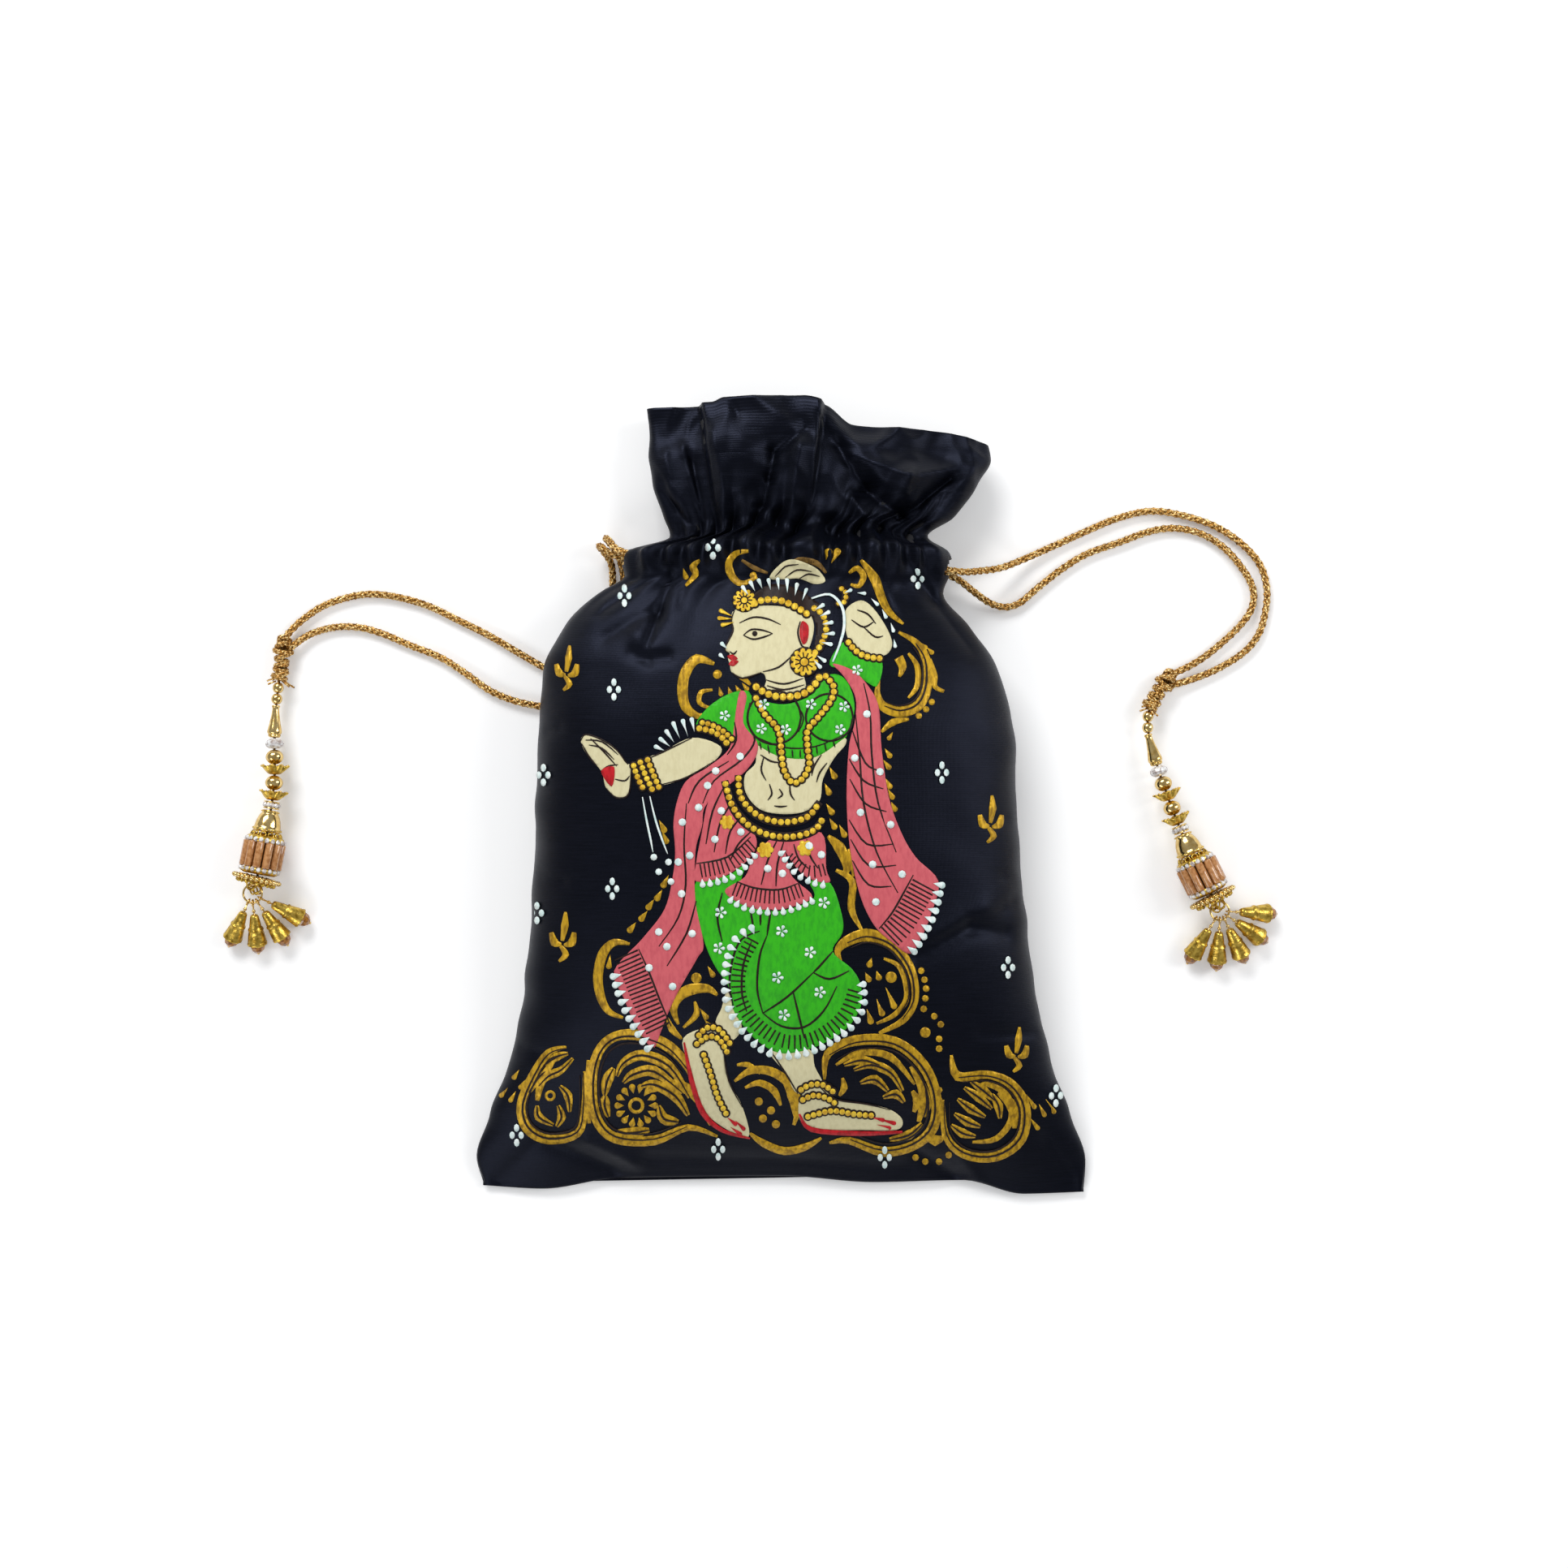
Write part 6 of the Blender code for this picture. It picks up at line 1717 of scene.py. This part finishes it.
    # the bottom right
    gold.line([(1122, 1314), (1138, 1346), (1132, 1382)], 4, 13, 5)
    gold.line([(798, 1345), (832, 1336), (862, 1354), (876, 1386)], 4, 13, 14, 5)
    gold.line([(1230, 1346), (1248, 1364), (1250, 1390)], 5, 15, 5)
    gold.line([(684, 1304), (668, 1330), (662, 1356)], 4, 11, 5)
    gold.line([(1016, 1330), (1020, 1298), (1054, 1282), (1102, 1284), (1137, 1312), (1153, 1350), (1150, 1388),
               (1126, 1411), (1088, 1419), (1046, 1405), (1022, 1408)], 3, 10, 13, 14, 14, 13, 13, 12, 12, 9, 3)
    gold.line([(1030, 1312), (1059, 1297), (1097, 1302), (1127, 1336)], 3, 8, 9, 3)
    gold.line([(1038, 1328), (1040, 1340), (1034, 1350)], 3, 9, 3)
    gold.line([(1124, 1344), (1130, 1356), (1126, 1370)], 4, 11, 4)
    for line in ([(1052, 1318), (1074, 1312), (1098, 1322), (1112, 1344)], [(1060, 1334), (1078, 1330), (1094, 1344)],
                 [(1136, 1384), (1120, 1398), (1096, 1404)], [(1140, 1340), (1142, 1360), (1138, 1376)],
                 [(1040, 1312), (1062, 1306), (1084, 1312)], [(1088, 1352), (1104, 1348), (1114, 1358)]):
        gold.line(line, 4, 12, 5)
        dark.lines(2.4, line)
    gold.line([(1172, 1300), (1180, 1326), (1217, 1324), (1246, 1336), (1263, 1364), (1258, 1403), (1227, 1425),
               (1188, 1422), (1165, 1398), (1162, 1355)], 3, 12, 10, 12, 13, 13, 12, 11, 9, 3)
    gold.line([(1204, 1338), (1219, 1336), (1241, 1350), (1246, 1379), (1227, 1403), (1198, 1407)], 3, 7, 8, 8, 7, 3)
    for line in ([(1188, 1340), (1206, 1352), (1222, 1366)], [(1180, 1354), (1196, 1366), (1214, 1376)],
                 [(1176, 1372), (1192, 1382), (1208, 1388)], [(1222, 1348), (1230, 1362), (1232, 1378)],
                 [(1172, 1386), (1186, 1396), (1202, 1400)], [(1196, 1332), (1212, 1344), (1226, 1356)]):
        gold.line(line, 4, 12, 4)
        dark.lines(2.4, line)
    gold.dabs(6, (1264, 1348, 1276, 1366), (1276, 1352, 1288, 1376), (1288, 1354, 1300, 1372), (1268, 1376, 1280, 1392))
    gold.area((1140, 1400), (1152, 1412), (1165, 1400), steps=2)
    gold.dots(4.2, (1128, 1426), (1140, 1431), (1157, 1431), (1169, 1423), (1157, 1343), (1157, 1355), (1157, 1366))


def paint_sprinkles(gold, white):
    """White drops and gold sprigs scattered over the cloth."""
    for u, v in ((757, 850), (879, 675), (770, 735), (1130, 713), (671, 955), (1160, 952), (755, 1095), (1241, 1192),
                 (637, 1398), (885, 1415), (1090, 1425), (663, 1125), (1300, 1350)):
        white.put(four_drops(u, v))
    gold.put(sprig(698, 822, 0.95, 4))
    gold.put(sprig(1220, 1008, 1.0, 2))
    gold.put(sprig(693, 1153, 1.05, 4))
    gold.put(sprig(1252, 1292, 0.95, 4))
    gold.line([(862, 690), (854, 698), (857, 708), (845, 722)], 3, 9, 8, 3)
    gold.dabs(7, (842, 700, 846, 714))


def painting(tree):
    """Every colour's coat, from the ones laid first to the ones laid last."""
    coats = [
        Coat("paint_scrolls", paint_finish("ochre_gold_paint", "#d2a524", "#94701a", 0.4, 0.3), 0),
        Coat("paint_dull_strokes", paint_finish("dull_gold_paint", "#8a6a32", "#5c431b", 0.5, 0.2), 0),
        Coat("paint_skin", paint_finish("cream_paint", "#e0d8ae", "#d8cfa4", 0.55), 1),
        Coat("paint_green", paint_finish("green_paint", "#36ba18", "#2da61a", 0.5), 2),
        Coat("paint_pink", paint_finish("pink_paint", "#d6646c", "#ca5963", 0.5), 3),
        Coat("paint_ink", paint_finish("dark_paint", "#24120c", "#160a07", 0.5), 4),
        Coat("paint_red", paint_finish("red_paint", "#c81c26", "#a01018", 0.45), 5),
        Coat("paint_jewellery", paint_finish("bright_gold_paint", "#f4cf3e", "#d3a024", 0.4, 0.15), 6),
        Coat("paint_fine_lines", paint_finish("fine_dark_paint", "#24120c", "#160a07", 0.5), 7),
        Coat("paint_white", paint_finish("white_paint", "#f2fbf8", "#cfe9e6", 0.5), 8),
    ]
    scrolls, dull, skin, green, pink, ink, red, gold, fine, white = coats
    paint_scrolls(scrolls, dull, ink)
    paint_figure(skin, green, pink, ink, red, gold, fine, white)
    paint_sprinkles(scrolls, white)
    for coat in coats:
        paint_piece(coat, tree)


def set_view():
    camera = bpy.data.cameras.new("camera")
    camera.lens = LENS
    camera.sensor_width = SENSOR
    holder = bpy.data.objects.new("camera", camera)
    holder.location = VIEW
    bpy.context.scene.collection.objects.link(holder)
    bpy.context.scene.camera = holder


def add_lamp(name, place, size, power):
    lamp = bpy.data.lights.new(name, "AREA")
    lamp.shape = "RECTANGLE"
    lamp.size, lamp.size_y = size
    lamp.energy = power
    holder = bpy.data.objects.new(name, lamp)
    holder.location = place
    holder.rotation_euler = Vector(place).to_track_quat("Z", "Y").to_euler()
    bpy.context.scene.collection.objects.link(holder)


def set_studio():
    """A white table under soft lamps."""
    bpy.context.scene.view_settings.view_transform = "Standard"
    world = bpy.data.worlds.new("studio")
    world.use_nodes = True
    tree = world.node_tree
    back = tree.nodes["Background"]
    back.inputs["Color"].default_value = (0.95, 0.97, 1.0, 1.0)
    seen = tree.nodes.new("ShaderNodeLightPath")
    level = tree.nodes.new("ShaderNodeMapRange")
    level.inputs["To Min"].default_value = WORLD_LIGHT
    level.inputs["To Max"].default_value = WORLD_SEEN
    tree.links.new(seen.outputs["Is Camera Ray"], level.inputs["Value"])
    tree.links.new(level.outputs["Result"], back.inputs["Strength"])
    bpy.context.scene.world = world
    for lamp in LAMPS:
        add_lamp(*lamp)
    table = new_finish("white_table", "#ffffff", 0.8, Specular_IOR_Level=0.1, Emission_Color=(1.0, 1.0, 1.0, 1.0))
    seen = add_node(table, "LightPath").outputs["Is Camera Ray"]
    feed(table, "Emission Strength", ranged(table, seen, 0.0, TABLE_SEEN))
    bm = bmesh.new()
    bmesh.ops.create_grid(bm, x_segments=4, y_segments=4, size=1.5)
    mesh = bpy.data.meshes.new("table_top")
    bm.to_mesh(mesh)
    bm.free()
    mesh.materials.append(table)
    floor = bpy.data.objects.new("table_top", mesh)
    floor.location.z = -TABLE_DROP
    bpy.context.scene.collection.objects.link(floor)


def build_cords():
    """The four free ends of the drawstrings, and the tassels at their ends."""
    knots = {
        "left": tassel("left", LEFT_TASSEL_LINE, LEFT_BELL_HEADINGS),
        "right": tassel("right", RIGHT_TASSEL_LINE, RIGHT_BELL_HEADINGS),
    }
    for name, route in (
        ("left_cord_upper", LEFT_UPPER_ROUTE), ("left_cord_lower", LEFT_LOWER_ROUTE),
        ("right_cord_upper", RIGHT_UPPER_ROUTE), ("right_cord_lower", RIGHT_LOWER_ROUTE),
    ):
        cord, path = braided_cord(name, route)
        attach(cord, "root")
        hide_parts(name)


def lining_inset(place):
    """The lining lies against the outer cloth, and makes room for the strings at the casing."""
    beside = max(0.0, abs(place - CASING) - STRING_INSET_REACH)
    return LINING_INSET + STRING_INSET * fade(beside, STRING_INSET_FADE)


def build_cloth():
    """The outer cloth and the lining. It returns the tree of the outer cloth's faces."""
    rows = [cloth_row(place, 0.0, COLUMNS) for place in cloth_places()]
    bm = cloth_tube(bottom_rows(rows[0]) + rows, COLUMNS, SLITS)
    tree = BVHTree.FromBMesh(bm)
    silk = mesh_piece("silk_bag", mesh_from("silk_bag", bm), SILK)
    thicken(silk, "wall", CLOTH_WALL)
    stand_in(silk, "outer_bag")
    rows = [cloth_row(place, lining_inset(place), LINING_COLUMNS) for place in LINING_ROWS]
    bm = cloth_tube(rows, LINING_COLUMNS, ())
    lining = mesh_piece("cotton_lining", mesh_from("cotton_lining", bm), LINING)
    thicken(lining, "wall", LINING_WALL)
    stand_in(lining, "lining")
    return tree


def dress_strings():
    """The strings inside the casing keep their shape, and get the look of the braid."""
    for name in ("left_string_in_casing", "right_string_in_casing"):
        for slot in bpy.data.objects[name].material_slots:
            slot.material = ZARI


BEADS = (
    ("bead_1", 2.9, lambda: small_bead(3.2, 2.9), "polished_gold"),
    ("bead_2", 2.9, lambda: small_bead(3.2, 2.9), "polished_gold"),
    ("cone", 9.4, cone_bead, "polished_gold"),
    ("glass_rondelle", 2.8, glass_bead, "clear_crystal"),
    ("bead_3", 4.1, lambda: small_bead(5.1, 4.1), "polished_gold"),
    ("flower_cap_1", 2.6, flower_cap, "antique_gold"),
    ("bead_4", 4.1, lambda: small_bead(5.1, 4.1), "polished_gold"),
    ("flower_cap_2", 2.6, flower_cap, "antique_gold"),
    ("stone_rondelle", 2.2, stone_rondelle, "clear_crystal"),
    ("dome", 6.4, dome_bead, "polished_gold"),
    ("barrel", 12.0, barrel_bead, "rose_glass"),
    ("disc", 2.0, disc_bead, "antique_gold"),
)

set_view()
build_cords()
CLOTH_TREE = build_cloth()
dress_strings()
painting(CLOTH_TREE)
set_studio()
